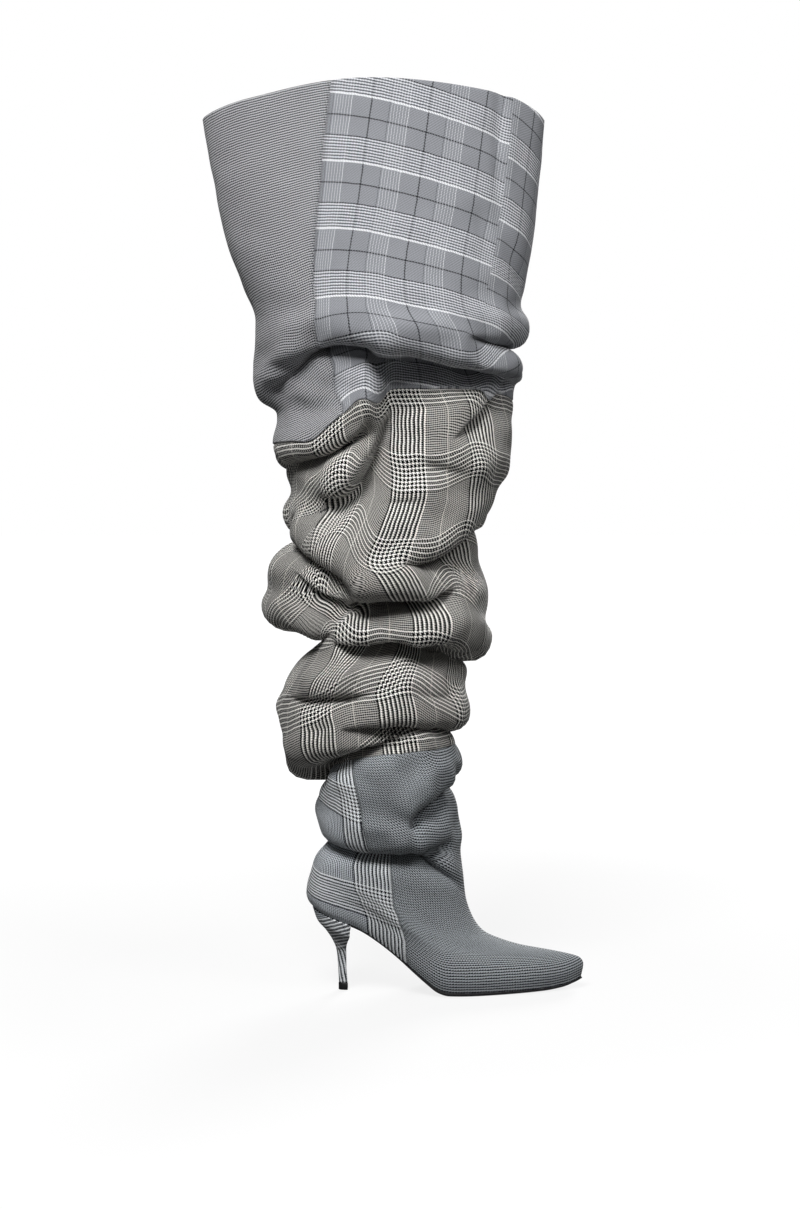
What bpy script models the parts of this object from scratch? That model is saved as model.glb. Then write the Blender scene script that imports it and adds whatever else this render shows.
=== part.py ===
"""Slouched thigh-high boot for the right foot, on a covered stiletto heel.

Metres, +Z up. +X points to the toe, -Y is the outer side of the foot and +Y the inner side.
The origin is on the floor, under the middle of the boot's box.
"""

import math
from collections import namedtuple

import bpy
import numpy as np

# Driving dimensions
BALL_WIDTH = 0.076      # across the upper at the ball of the foot
SOLE_THICK = 0.003
SOLE_MARGIN = 0.0008    # the sole's edge stands this far outside the upper's lower edge
INSOLE_THICK = 0.0015
WALL = 0.0018           # outer cloth, interlining and lining together
GAP = 0.0003            # between pieces that are glued together
SEAM_GAP = 0.0006       # between two lengths of the shaft, measured before the folds draw them closer
TOE_SWING = 0.006       # the toe's tip lies this far to the inner side
BREAST_X = -0.0365      # where the outsole ends and the heel begins
LIP_DROOP = 0.22        # how far a fold hangs over the trough below it, as a share of the trough's depth
FOLD_REACH = 0.082      # mean radius of the shaft: turns an angle round it into a length

# Steps of the faceted surfaces
AROUND = 28
FOOT_RINGS = 19
ANKLE_RINGS = 14
MIDDLE_RINGS = 44
ROLL_RINGS = 15
TOP_RINGS = 7
SOLE_STEPS = 40

# Height of the sole's underside along its length: heel seat, arch, flat tread under the ball, toe spring
SOLE_LINE = np.array([
    # x       z
    (-0.080, 0.0735),
    (-0.070, 0.0690),
    (-0.055, 0.0625),
    (-0.037, 0.0560),
    (-0.028, 0.0520),
    (-0.013, 0.0424),
    (0.006, 0.0278),
    (0.018, 0.0178),
    (0.030, 0.0082),
    (0.038, 0.0024),
    (0.048, 0.0000),
    (0.108, 0.0000),
    (0.130, 0.0008),
    (0.146, 0.0034),
    (0.158, 0.0076),
    (0.172, 0.0145),
])

# Rings over the last, from the lower edge to the ankle. A ring runs from its back point to its front point.
# level is 0 where the ring bows with the sole and 1 where it is straight. The last five columns are half
# widths, as shares of half the ball width, at 7, 25, 50, 75 and 93 per cent of the ring's length.
LAST_COLUMNS = ("back_x", "back_z", "front_x", "front_z", "level", "heel", "waist", "ball", "fore", "tip")
LAST_ROWS = np.array([
    # back_x  back_z  front_x front_z level heel  waist ball  fore  tip
    (-0.0690, 0.0720, 0.1640, 0.0150, 0.00, 0.55, 0.61, 0.92, 0.63, 0.22),
    (-0.0740, 0.0780, 0.1660, 0.0205, 0.10, 0.63, 0.69, 1.00, 0.68, 0.27),
    (-0.0755, 0.0840, 0.1630, 0.0265, 0.20, 0.66, 0.74, 1.01, 0.67, 0.27),
    (-0.0750, 0.0900, 0.1450, 0.0318, 0.30, 0.67, 0.78, 1.00, 0.65, 0.29),
    (-0.0740, 0.0950, 0.1165, 0.0366, 0.40, 0.67, 0.82, 1.00, 0.72, 0.34),
    (-0.0725, 0.1000, 0.0970, 0.0420, 0.50, 0.67, 0.84, 0.99, 0.77, 0.39),
    (-0.0710, 0.1050, 0.0800, 0.0495, 0.60, 0.67, 0.87, 0.99, 0.81, 0.43),
    (-0.0690, 0.1120, 0.0700, 0.0615, 0.75, 0.67, 0.90, 1.01, 0.84, 0.46),
    (-0.0660, 0.1190, 0.0640, 0.0780, 0.90, 0.66, 0.93, 1.05, 0.88, 0.49),
    (-0.0630, 0.1260, 0.0620, 0.0960, 1.00, 0.64, 0.96, 1.10, 0.93, 0.53),
    (-0.0610, 0.1320, 0.0590, 0.1120, 1.00, 0.60, 0.98, 1.13, 0.98, 0.58),
])
ANKLE_BLEND = 0.75      # share of the last's rings above which it turns into the shaft

# Outline of the shaft over its folds. pinch is 1 for an oval ring and more for one with creased front and back.
SHAFT_COLUMNS = ("z", "back", "front", "depth", "pinch")
SHAFT_ROWS = np.array([
    # z      back    front   depth  pinch
    (0.100, -0.0710, 0.0610, 0.0420, 1.00),
    (0.126, -0.0640, 0.0585, 0.0450, 1.00),
    (0.148, -0.0680, 0.0590, 0.0560, 1.00),
    (0.170, -0.0695, 0.0585, 0.0600, 1.00),
    (0.198, -0.0900, 0.0580, 0.0640, 1.00),
    (0.222, -0.0990, 0.0610, 0.0680, 1.00),
    (0.250, -0.1025, 0.0655, 0.0690, 1.00),
    (0.285, -0.1000, 0.0760, 0.0710, 1.00),
    (0.320, -0.1060, 0.0820, 0.0730, 1.00),
    (0.345, -0.1110, 0.0830, 0.0740, 1.00),
    (0.370, -0.1125, 0.0765, 0.0740, 1.00),
    (0.400, -0.0960, 0.0785, 0.0730, 1.00),
    (0.425, -0.0935, 0.0880, 0.0730, 1.00),
    (0.450, -0.0970, 0.1000, 0.0740, 1.00),
    (0.475, -0.1035, 0.1045, 0.0750, 1.00),
    (0.500, -0.1030, 0.1055, 0.0770, 1.00),
    (0.516, -0.1150, 0.1085, 0.0780, 1.00),
    (0.535, -0.1205, 0.1135, 0.0790, 1.00),
    (0.580, -0.1195, 0.1135, 0.0790, 1.00),
    (0.612, -0.1310, 0.1165, 0.0750, 1.08),
    (0.643, -0.1430, 0.1205, 0.0700, 1.15),
    (0.700, -0.1560, 0.1270, 0.0630, 1.28),
    (0.757, -0.1660, 0.1320, 0.0580, 1.40),
    (0.790, -0.1710, 0.1340, 0.0560, 1.45),
])

# Height of the two cross seams and of the top edge, at eight places round the shaft
RoundLine = namedtuple(
    "RoundLine", "back back_outer outer front_outer front front_inner inner back_inner"
)
ANKLE_LINE = RoundLine(0.132, 0.129, 0.122, 0.115, 0.112, 0.115, 0.122, 0.129)
ANKLE_SEAM = RoundLine(0.186, 0.200, 0.210, 0.214, 0.216, 0.214, 0.206, 0.194)
KNEE_SEAM = RoundLine(0.469, 0.482, 0.516, 0.523, 0.514, 0.505, 0.492, 0.477)
TOP_EDGE = RoundLine(0.757, 0.769, 0.783, 0.774, 0.756, 0.774, 0.783, 0.769)
ROLL_SHARE = 0.42       # share of the top piece's height that the knee roll takes

# Troughs between the folds, seen from one side. Each runs from its back point over its middle point to its
# front point, given as (x, z, depth). above and below are how wide its two banks are.
Fold = namedtuple("Fold", "name side back middle front above below")
OUTER, INNER = "outer", "inner"
FOLDS = (
    Fold("knee_roll", OUTER, (-0.110, 0.505, 0.002), (-0.036, 0.553, 0.030), (0.113, 0.529, 0.004), 0.011, 0.024),
    Fold("knee_notch", OUTER, (0.066, 0.557, 0.000), (0.092, 0.559, 0.010), (0.114, 0.560, 0.014), 0.007, 0.008),
    Fold("seam_tuck", OUTER, (-0.102, 0.457, 0.005), (-0.049, 0.472, 0.016), (-0.008, 0.515, 0.006), 0.010, 0.012),
    Fold("calf_slant", OUTER, (-0.088, 0.432, 0.004), (-0.036, 0.449, 0.018), (-0.006, 0.512, 0.009), 0.010, 0.020),
    Fold("shin_slant", OUTER, (0.053, 0.478, 0.000), (0.077, 0.497, 0.012), (0.105, 0.518, 0.006), 0.010, 0.016),
    Fold("shin_pocket", OUTER, (0.017, 0.377, 0.000), (0.044, 0.387, 0.014), (0.080, 0.399, 0.009), 0.010, 0.016),
    Fold("calf_drop", OUTER, (-0.098, 0.391, 0.018), (-0.056, 0.364, 0.020), (-0.036, 0.339, 0.024), 0.010, 0.018),
    Fold("calf_shelf", OUTER, (-0.042, 0.339, 0.022), (0.002, 0.336, 0.030), (0.052, 0.344, 0.000), 0.010, 0.022),
    Fold("shin_ring", OUTER, (-0.103, 0.309, 0.045), (-0.003, 0.299, 0.024), (0.076, 0.280, 0.008), 0.010, 0.024),
    Fold("shin_notch", OUTER, (0.042, 0.283, 0.000), (0.064, 0.279, 0.016), (0.078, 0.277, 0.018), 0.008, 0.008),
    Fold("low_crease", OUTER, (-0.095, 0.256, 0.004), (-0.053, 0.259, 0.010), (0.006, 0.263, 0.000), 0.009, 0.014),
    Fold("low_pocket", OUTER, (-0.040, 0.228, 0.000), (0.002, 0.234, 0.022), (0.060, 0.221, 0.010), 0.010, 0.010),
    Fold("ankle_shelf", OUTER, (-0.079, 0.179, 0.019), (-0.030, 0.212, 0.022), (0.010, 0.219, 0.006), 0.010, 0.014),
    Fold("cuff_pocket", OUTER, (0.016, 0.152, 0.000), (0.020, 0.166, 0.014), (0.058, 0.178, 0.011), 0.010, 0.014),
    Fold("cuff_edge", OUTER, (-0.066, 0.136, 0.006), (-0.003, 0.127, 0.013), (0.052, 0.131, 0.000), 0.011, 0.014),
    Fold("knee_roll_in", INNER, (-0.110, 0.505, 0.002), (0.010, 0.548, 0.026), (0.113, 0.529, 0.004), 0.011, 0.024),
    Fold("knee_notch_in", INNER, (0.066, 0.563, 0.000), (0.092, 0.561, 0.010), (0.114, 0.560, 0.014), 0.007, 0.008),
    Fold("seam_tuck_in", INNER, (-0.102, 0.457, 0.005), (-0.045, 0.446, 0.018), (0.020, 0.468, 0.000), 0.010, 0.018),
    Fold("shin_slant_in", INNER, (-0.010, 0.438, 0.000), (0.045, 0.456, 0.015), (0.105, 0.518, 0.006), 0.010, 0.018),
    Fold("shin_pocket_in", INNER, (-0.030, 0.416, 0.000), (0.030, 0.403, 0.018), (0.080, 0.399, 0.009), 0.010, 0.018),
    Fold("calf_drop_in", INNER, (-0.098, 0.391, 0.018), (-0.020, 0.370, 0.024), (0.042, 0.360, 0.000), 0.010, 0.020),
    Fold("calf_shelf_in", INNER, (-0.050, 0.336, 0.000), (0.005, 0.328, 0.020), (0.056, 0.322, 0.000), 0.010, 0.016),
    Fold("shin_ring_in", INNER, (-0.103, 0.309, 0.045), (0.000, 0.288, 0.026), (0.076, 0.280, 0.008), 0.010, 0.024),
    Fold("shin_notch_in", INNER, (0.042, 0.280, 0.000), (0.064, 0.278, 0.016), (0.078, 0.277, 0.018), 0.008, 0.008),
    Fold("low_crease_in", INNER, (-0.072, 0.250, 0.000), (-0.020, 0.246, 0.014), (0.040, 0.252, 0.000), 0.010, 0.014),
    Fold("low_pocket_in", INNER, (-0.040, 0.206, 0.000), (0.014, 0.212, 0.016), (0.060, 0.221, 0.010), 0.010, 0.012),
    Fold("ankle_shelf_in", INNER, (-0.079, 0.179, 0.019), (-0.020, 0.188, 0.018), (0.030, 0.196, 0.000), 0.010, 0.014),
    Fold("cuff_pocket_in", INNER, (-0.020, 0.158, 0.000), (0.022, 0.167, 0.014), (0.058, 0.178, 0.011), 0.010, 0.014),
    Fold("cuff_edge_in", INNER, (-0.066, 0.136, 0.006), (0.000, 0.128, 0.013), (0.050, 0.131, 0.000), 0.011, 0.014),
)
FOLD_STEPS = 14         # straight pieces that each trough's line is measured by
FOLD_END = 0.022        # how far a trough runs out beyond the ends of its line
FOLD_JOIN = 4.0         # power of the sum where two troughs meet: the deeper one wins, softly

# Rings down the covered heel: its back and front edge, the height at each and the half width
HEEL_COLUMNS = ("back_x", "back_z", "front_x", "front_z", "half")
HEEL_ROWS = np.array([
    # back_x  back_z  front_x  front_z  half
    (-0.0660, 0.0615, -0.0375, 0.0485, 0.0205),
    (-0.0590, 0.0530, -0.0388, 0.0445, 0.0142),
    (-0.0525, 0.0430, -0.0402, 0.0395, 0.0086),
    (-0.0493, 0.0350, -0.0408, 0.0340, 0.0062),
    (-0.0478, 0.0200, -0.0407, 0.0200, 0.0047),
    (-0.0471, 0.0063, -0.0398, 0.0063, 0.0040),
])
HEEL_SEAT_HALF = 0.0232
HEEL_STEPS = 17         # points round a heel ring, from one breast corner to the other
HEEL_ROUND = 0.80       # below 1 squares the ring's back corners a little
TOP_PIECE = {"back_x": -0.0474, "front_x": -0.0394, "half": 0.0044, "height": 0.0060}

CLOTH_BLUE = (0.24, 0.27, 0.31)
CLOTH_TAN = (0.33, 0.31, 0.27)
CLOTH_GREY = (0.30, 0.32, 0.35)
CLOTH_CHECK = (0.36, 0.40, 0.46)
SOLE_BLACK = (0.012, 0.012, 0.013)
LINING_DARK = (0.045, 0.043, 0.042)


def smooth_rows(x, y, at):
    """Monotone cubic through the rows (x, y), read at any places: it never passes beyond its rows."""
    x = np.asarray(x, float)
    y = np.asarray(y, float)
    step = np.diff(x)
    rise = np.diff(y) / step
    slope = np.empty_like(y)
    slope[0], slope[-1] = rise[0], rise[-1]
    before, after = 2 * step[1:] + step[:-1], step[1:] + 2 * step[:-1]
    turning = rise[:-1] * rise[1:] <= 0
    safe = np.where(turning[:, None], 1.0, np.stack([rise[:-1], rise[1:]], 1))
    mean = (before + after) / (before / safe[:, 0] + after / safe[:, 1])
    slope[1:-1] = np.where(turning, 0.0, mean)
    at = np.clip(at, x[0], x[-1])
    i = np.clip(np.searchsorted(x, at, side="right") - 1, 0, len(step) - 1)
    t = (at - x[i]) / step[i]
    near = (1 + 2 * t) * (1 - t) ** 2 * y[i] + t * (1 - t) ** 2 * step[i] * slope[i]
    return near + t * t * (3 - 2 * t) * y[i + 1] + t * t * (t - 1) * step[i] * slope[i + 1]


def round_line(line, angle):
    """Height of a line round the shaft at an angle: 0 at the back, a quarter turn at the outer side."""
    heights = np.array(line)
    places = np.arange(-2, len(heights) + 3)
    turns = np.mod(angle, 2 * math.pi) / (2 * math.pi) * len(heights)
    return smooth_rows(places, heights[places % len(heights)], turns)


def smooth_step(t):
    t = np.clip(t, 0, 1)
    return t * t * (3 - 2 * t)


def sole_under(x):
    return smooth_rows(SOLE_LINE[:, 0], SOLE_LINE[:, 1], x)


def sole_top(x):
    return sole_under(x) + SOLE_THICK


def bow(x):
    """How far the sole dips below the straight line between the ends of the upper's lower edge."""
    first = LAST_ROWS[0]
    share = (x - first[0]) / (first[2] - first[0])
    ends = sole_top(np.array([first[0], first[2]]))
    return sole_top(x) - (ends[0] + (ends[1] - ends[0]) * share)


def swing(x):
    """Sideways place of the foot's middle line: it turns to the inner side in front of the ball."""
    ball, toe = 0.045, 0.164
    return TOE_SWING * np.clip((x - ball) / (toe - ball), 0, 1.1) ** 2


def half_width(columns, angle):
    """Half width of a ring over the last, through its five stations, at an angle from its back point."""
    folded = np.abs(np.mod(angle + math.pi, 2 * math.pi) - math.pi)
    stations = np.linspace(0, math.pi, 7)
    shares = np.stack([np.zeros_like(columns[0]), *columns, np.zeros_like(columns[0])])
    widths = np.empty_like(folded)
    for row in range(folded.shape[0]):
        widths[row] = smooth_rows(stations, shares[:, row, 0], folded[row])
    return widths * BALL_WIDTH / 2


def last_rings(angle, share):
    """Points over the last: share is 0 at the upper's lower edge and 1 at the ankle line."""
    rows = np.linspace(0, 1, len(LAST_ROWS))
    level_of = dict(zip(LAST_COLUMNS, (smooth_rows(rows, c, share) for c in LAST_ROWS.T)))
    along = (1 - np.cos(angle)) / 2
    x = level_of["back_x"] + (level_of["front_x"] - level_of["back_x"]) * along
    straight = level_of["back_z"] + (level_of["front_z"] - level_of["back_z"]) * along
    ends = bow(level_of["back_x"]) * (1 - along) + bow(level_of["front_x"]) * along
    z = straight + (1 - level_of["level"]) * (bow(x) - ends) + (1 - share) * GAP
    half = half_width([level_of[c] for c in LAST_COLUMNS[5:]], angle)
    y = swing(x) * (1 - share) - np.sign(np.sin(angle)) * half
    return np.stack([x, y, z], -1)


def shaft_outline(z):
    return {name: smooth_rows(SHAFT_ROWS[:, 0], SHAFT_ROWS[:, i], z) for i, name in enumerate(SHAFT_COLUMNS)}


def shaft_rings(angle, z):
    """Points of the shaft's outline over its folds, at an angle and a height."""
    at = shaft_outline(z)
    middle, half = (at["front"] + at["back"]) / 2, (at["front"] - at["back"]) / 2
    side = np.sign(np.sin(angle)) * np.abs(np.sin(angle)) ** at["pinch"]
    return np.stack([middle - half * np.cos(angle), -at["depth"] * side, z], -1)


def fold_path(fold):
    """The trough's line as points of (length round the shaft, height, depth), back to front."""
    marks = np.array([fold.back, fold.middle, fold.front])
    at = shaft_outline(marks[:, 1])
    middle, half = (at["front"] + at["back"]) / 2, (at["front"] - at["back"]) / 2
    turn = np.arcsin(np.clip((marks[:, 0] - middle) / half, -1, 1))
    marks[:, 0] = FOLD_REACH * (math.pi / 2 + turn if fold.side == OUTER else 3 * math.pi / 2 - turn)
    t = np.linspace(0, 1, FOLD_STEPS + 1)[:, None]
    return marks[0] * (1 - t) * (1 - 2 * t) + marks[1] * 4 * t * (1 - t) + marks[2] * t * (2 * t - 1)


def fold_depths(angle, z):
    """Depth of the troughs at each point, and how far the lip above them hangs down."""
    turn = 2 * math.pi * FOLD_REACH
    depth_sum = np.zeros_like(z)
    droop_sum = np.zeros_like(z)
    for fold in FOLDS:
        path = fold_path(fold)
        nearest = np.full_like(z, 1e9)
        above = np.zeros_like(z)
        beyond = np.zeros_like(z)
        depth = np.zeros_like(z)
        for start, end in zip(path[:-1], path[1:]):
            run = end[:2] - start[:2]
            length = np.hypot(*run)
            off_round = np.mod(FOLD_REACH * angle - start[0] + turn / 2, turn) - turn / 2
            off_up = z - start[1]
            along = (off_round * run[0] + off_up * run[1]) / length
            across = (off_up * run[0] - off_round * run[1]) / length * np.sign(run[0])
            t = np.clip(along / length, 0, 1)
            past = along - t * length
            away = np.hypot(across, past)
            closer = away < nearest
            nearest = np.where(closer, away, nearest)
            above = np.where(closer, across, above)
            beyond = np.where(closer, past, beyond)
            depth = np.where(closer, start[2] + (end[2] - start[2]) * t, depth)
        depth = np.maximum(depth, 0) * np.exp(-((beyond / FOLD_END) ** 2))
        bank = np.where(above >= 0, fold.above, fold.below)
        depth_sum += (depth * np.exp(-((above / bank) ** 2))) ** FOLD_JOIN
        droop_sum += (depth * LIP_DROOP * np.exp(-((above / fold.above - 1) ** 2))) ** FOLD_JOIN
    return depth_sum ** (1 / FOLD_JOIN), droop_sum ** (1 / FOLD_JOIN)


def upper_surface(angle, level):
    """Outer face of the cloth. level: 0 lower edge, 1 ankle line, 2 ankle seam, 3 knee seam, 4 top edge."""
    lines = [round_line(line, angle) for line in (ANKLE_LINE, ANKLE_SEAM, KNEE_SEAM, TOP_EDGE)]
    foot = last_rings(angle, np.clip(level, 0, 1))
    z = np.where(level <= 1, foot[..., 2], lines[0])
    for i in range(3):
        z = z + np.clip(level - 1 - i, 0, 1) * (lines[i + 1] - lines[i])
    shaft = shaft_rings(angle, z)
    blend = smooth_step((level - ANKLE_BLEND) / (1 - ANKLE_BLEND))[..., None]
    point = foot * (1 - blend) + shaft * blend
    depth, droop = fold_depths(angle, z)
    at = shaft_outline(z)
    inward = np.stack([np.cos(angle) * at["depth"], np.sin(angle) * (at["front"] - at["back"]) / 2], -1)
    inward /= np.linalg.norm(inward, axis=-1, keepdims=True)
    point[..., :2] += inward * (depth * blend[..., 0])[..., None]
    point[..., 2] -= droop * blend[..., 0]
    return point


def upper_wall(levels):
    """Outer and inner face of the cloth on a grid of rings at these levels, the inner one WALL away."""
    angle = np.linspace(0, 2 * math.pi, AROUND, endpoint=False) + math.pi / AROUND
    angle, level = np.meshgrid(angle, levels)
    small = 1e-3
    outer = upper_surface(angle, level)
    round_step = upper_surface(angle + small, level) - upper_surface(angle - small, level)
    up_step = upper_surface(angle, level + small) - upper_surface(angle, level - small)
    normal = np.cross(round_step, up_step)
    normal /= np.linalg.norm(normal, axis=-1, keepdims=True)
    return outer, outer - normal * WALL


def new_object(name, points, faces, colour, roughness):
    """A named object from points and faces, with its own plain material."""
    mesh = bpy.data.meshes.new(name)
    mesh.from_pydata([tuple(p) for p in points], [], faces)
    mesh.shade_smooth()
    mesh.set_sharp_from_angle(angle=math.radians(40))
    material = bpy.data.materials.new(name)
    material.use_nodes = True
    shader = material.node_tree.nodes["Principled BSDF"]
    shader.inputs["Base Color"].default_value = (*colour, 1)
    shader.inputs["Roughness"].default_value = roughness
    shader.inputs["Metallic"].default_value = 0
    mesh.materials.append(material)
    obj = bpy.data.objects.new(name, mesh)
    bpy.context.scene.collection.objects.link(obj)
    return obj


def tube(name, levels, colour):
    """One hollow length of the cloth upper: outer face, inner face and the two cut edges."""
    outer, inner = upper_wall(levels)
    rings, around = outer.shape[:2]
    points = np.concatenate([outer.reshape(-1, 3), inner.reshape(-1, 3)])
    inside = rings * around
    faces = []
    for i in range(rings - 1):
        for j in range(around):
            k = (j + 1) % around
            a, b, c, d = i * around + j, i * around + k, (i + 1) * around + k, (i + 1) * around + j
            faces.append((a, b, c, d))
            faces.append((inside + d, inside + c, inside + b, inside + a))
    for j in range(around):
        k = (j + 1) % around
        top = (rings - 1) * around
        faces.append((inside + j, inside + k, k, j))
        faces.append((top + j, top + k, inside + top + k, inside + top + j))
    return new_object(name, points, faces, colour, 0.85)


def plan_line(x, margin):
    """Half width of the lower edge's outline at x, moved out by a margin."""
    first = dict(zip(LAST_COLUMNS, LAST_ROWS[0]))
    share = np.clip((x - first["back_x"] + margin) / (first["front_x"] - first["back_x"] + 2 * margin), 0, 1)
    angle = np.arccos(1 - 2 * share)[None, :]
    columns = [np.array([[first[c]]]) for c in LAST_COLUMNS[5:]]
    return half_width(columns, angle)[0] + margin


def plank(name, x, margin, lift, thick, colour, roughness):
    """A thin piece that follows the sole's outline and its curve, over the places x along it."""
    half = plan_line(x, margin)
    bottom = sole_under(x) + lift
    points = []
    for side in (-1, 1):
        for z in (bottom, bottom + thick):
            points.append(np.stack([x, swing(x) + side * half, z], -1))
    n = len(x)
    outer_low, outer_high, inner_low, inner_high = (range(i * n, (i + 1) * n) for i in range(4))
    sides = ((outer_low, inner_low), (inner_low, inner_high), (inner_high, outer_high), (outer_high, outer_low))
    faces = [(a[i], b[i], b[i + 1], a[i + 1]) for a, b in sides for i in range(n - 1)]
    faces.append((outer_low[0], outer_high[0], inner_high[0], inner_low[0]))
    faces.append((outer_low[-1], inner_low[-1], inner_high[-1], outer_high[-1]))
    return new_object(name, np.concatenate(points), faces, colour, roughness)


def rounded_stations(start, end, count):
    """Places from start to end, closer together near the end."""
    return start + (end - start) * np.sin(np.linspace(0, math.pi / 2, count))


def heel_ring(back_x, back_z, front_x, front_z, half):
    """A half oval round the heel's back, from one breast corner to the other."""
    turn = np.linspace(0, math.pi, HEEL_STEPS)
    reach = np.abs(np.sin(turn)) ** HEEL_ROUND
    across = np.sign(np.cos(turn)) * np.abs(np.cos(turn)) ** HEEL_ROUND
    x = front_x + (back_x - front_x) * reach
    z = front_z + (back_z - front_z) * reach
    return np.stack([x, half * across, z], -1)


def stacked(name, rings, colour, roughness):
    """A solid through rings that are each closed by a straight breast line, top ring first."""
    n = rings[0].shape[0]
    points = np.concatenate(rings)
    faces = []
    for i in range(len(rings) - 1):
        for j in range(n):
            k = (j + 1) % n
            faces.append((i * n + j, (i + 1) * n + j, (i + 1) * n + k, i * n + k))
    last = (len(rings) - 1) * n
    for j in range(n // 2):
        a, b, c, d = j, j + 1, n - 2 - j, n - 1 - j
        faces.append((a, b, c, d) if b != c else (a, b, d))
        faces.append((last + d, last + c, last + b, last + a) if b != c else (last + d, last + b, last + a))
    return new_object(name, points, faces, colour, roughness)


def build_heel():
    seat_back = LAST_ROWS[0][0] - SOLE_MARGIN
    seat = heel_ring(seat_back, 0, BREAST_X - GAP, 0, HEEL_SEAT_HALF)
    seat[:, 2] = sole_top(seat[:, 0])
    rings = [seat] + [heel_ring(*row) for row in HEEL_ROWS]
    stacked("heel", rings, CLOTH_CHECK, 0.8)
    tip = TOP_PIECE
    high = heel_ring(tip["back_x"], tip["height"], tip["front_x"], tip["height"], tip["half"])
    low = heel_ring(tip["back_x"], 0.0, tip["front_x"], 0.0, tip["half"])
    stacked("heel_top_piece", [high, low], SOLE_BLACK, 0.5)


def build_sole():
    heel_end, toe_end = LAST_ROWS[0][0], LAST_ROWS[0][2]
    places = rounded_stations(BREAST_X, toe_end + SOLE_MARGIN, SOLE_STEPS)
    plank("outsole", places, SOLE_MARGIN, 0.0, SOLE_THICK, SOLE_BLACK, 0.45)
    inset = WALL + GAP
    behind = np.flip(rounded_stations(BREAST_X, heel_end + inset + GAP, 9))
    inside = np.append(places[places < toe_end - 2 * inset], toe_end - inset - GAP)
    plank("insole", np.concatenate([behind[:-1], inside]), -inset, SOLE_THICK + GAP, INSOLE_THICK,
          LINING_DARK, 0.6)


def build_upper():
    seam = SEAM_GAP / 2 / 0.09   # half a seam's gap, as a share of a level about 90 mm high
    foot = np.linspace(0, 1, FOOT_RINGS)
    ankle = np.linspace(1, 2 - seam, ANKLE_RINGS)[1:]
    tube("upper", np.concatenate([foot, ankle]), CLOTH_BLUE)
    seam_wide = SEAM_GAP / 2 / 0.28
    tube("shaft_middle", np.linspace(2 + seam_wide, 3 - seam_wide, MIDDLE_RINGS), CLOTH_TAN)
    roll = np.linspace(3 + seam_wide, 3 + ROLL_SHARE, ROLL_RINGS)
    top = np.linspace(3 + ROLL_SHARE, 4, TOP_RINGS)[1:]
    tube("shaft_top", np.concatenate([roll, top]), CLOTH_GREY)


def main():
    for obj in list(bpy.data.objects):
        bpy.data.objects.remove(obj)
    build_upper()
    build_sole()
    build_heel()


main()
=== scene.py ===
# %% [markdown]
# # A slouched thigh-high boot in checked wool
#
# A slouch boot is a long, wide tube of cloth on a heeled shoe, let down until it folds in rings.
# It could be sculpted, or dropped as a cloth simulation, but neither would put each fold where the
# real one lies. Here one function gives the whole cloth surface, and every fold is a line placed on
# it. Three hollow pieces are cut from that surface at the cross seams. The boot stands on
# its sole with the toe along +X, and its outer side faces -Y, towards the camera.

# %% Load the solid model
import math
from collections import namedtuple

import bpy
import numpy as np
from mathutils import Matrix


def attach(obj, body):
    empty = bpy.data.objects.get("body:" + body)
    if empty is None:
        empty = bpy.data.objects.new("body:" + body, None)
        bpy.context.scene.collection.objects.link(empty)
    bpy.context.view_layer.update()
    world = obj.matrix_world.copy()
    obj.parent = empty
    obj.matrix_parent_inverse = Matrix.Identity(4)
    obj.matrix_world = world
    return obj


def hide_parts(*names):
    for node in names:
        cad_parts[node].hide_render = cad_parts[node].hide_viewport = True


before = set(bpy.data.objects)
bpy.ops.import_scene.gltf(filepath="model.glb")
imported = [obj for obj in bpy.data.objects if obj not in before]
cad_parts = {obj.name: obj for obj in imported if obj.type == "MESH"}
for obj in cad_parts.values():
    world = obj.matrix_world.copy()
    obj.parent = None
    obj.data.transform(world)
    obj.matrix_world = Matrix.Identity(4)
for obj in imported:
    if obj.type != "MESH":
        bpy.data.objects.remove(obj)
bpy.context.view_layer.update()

# %% [markdown]
# ## The camera
#
# The photograph looks level at the boot's outer side from about two metres, with a long lens.
# A camera could be tilted down to bring the floor into place, but then upright lines would lean.
# A lens shift moves the picture instead, as on a view camera, so the boot stays upright. One pixel
# of the photograph is 0.87 mm on the boot's middle plane.

# %% Camera
PIXEL = 0.00087
PHOTO_ROWS = 1209
FRAME_HEIGHT = PHOTO_ROWS * PIXEL
VIEW_X = 0.006              # what the middle of the picture shows
VIEW_Z = 0.3345
CAMERA_DISTANCE = 2.0
CAMERA_HEIGHT = 0.42
SENSOR = 24.0               # millimetres

camera = bpy.data.objects.new("camera", bpy.data.cameras.new("camera"))
camera.data.sensor_fit = "VERTICAL"
camera.data.sensor_height = SENSOR
camera.data.lens = SENSOR * CAMERA_DISTANCE / FRAME_HEIGHT
camera.data.shift_y = (VIEW_Z - CAMERA_HEIGHT) / FRAME_HEIGHT
camera.location = (VIEW_X, -CAMERA_DISTANCE, CAMERA_HEIGHT)
camera.rotation_euler = (math.pi / 2, 0, 0)
bpy.context.scene.collection.objects.link(camera)
bpy.context.scene.camera = camera

bpy.context.scene.view_settings.view_transform = "Standard"
print("lens", round(camera.data.lens, 1), "mm, shift", round(camera.data.shift_y, 4))

# %% [markdown]
# ## Studio light
#
# The picture was lit softly from above the camera, with little light from the sides, so every fold
# has a dark trough under a bright lip. A sky texture would fill those troughs. Two soft boxes and
# a wide low sun behind give the folds their depth, and leave the far side readable.

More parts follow.
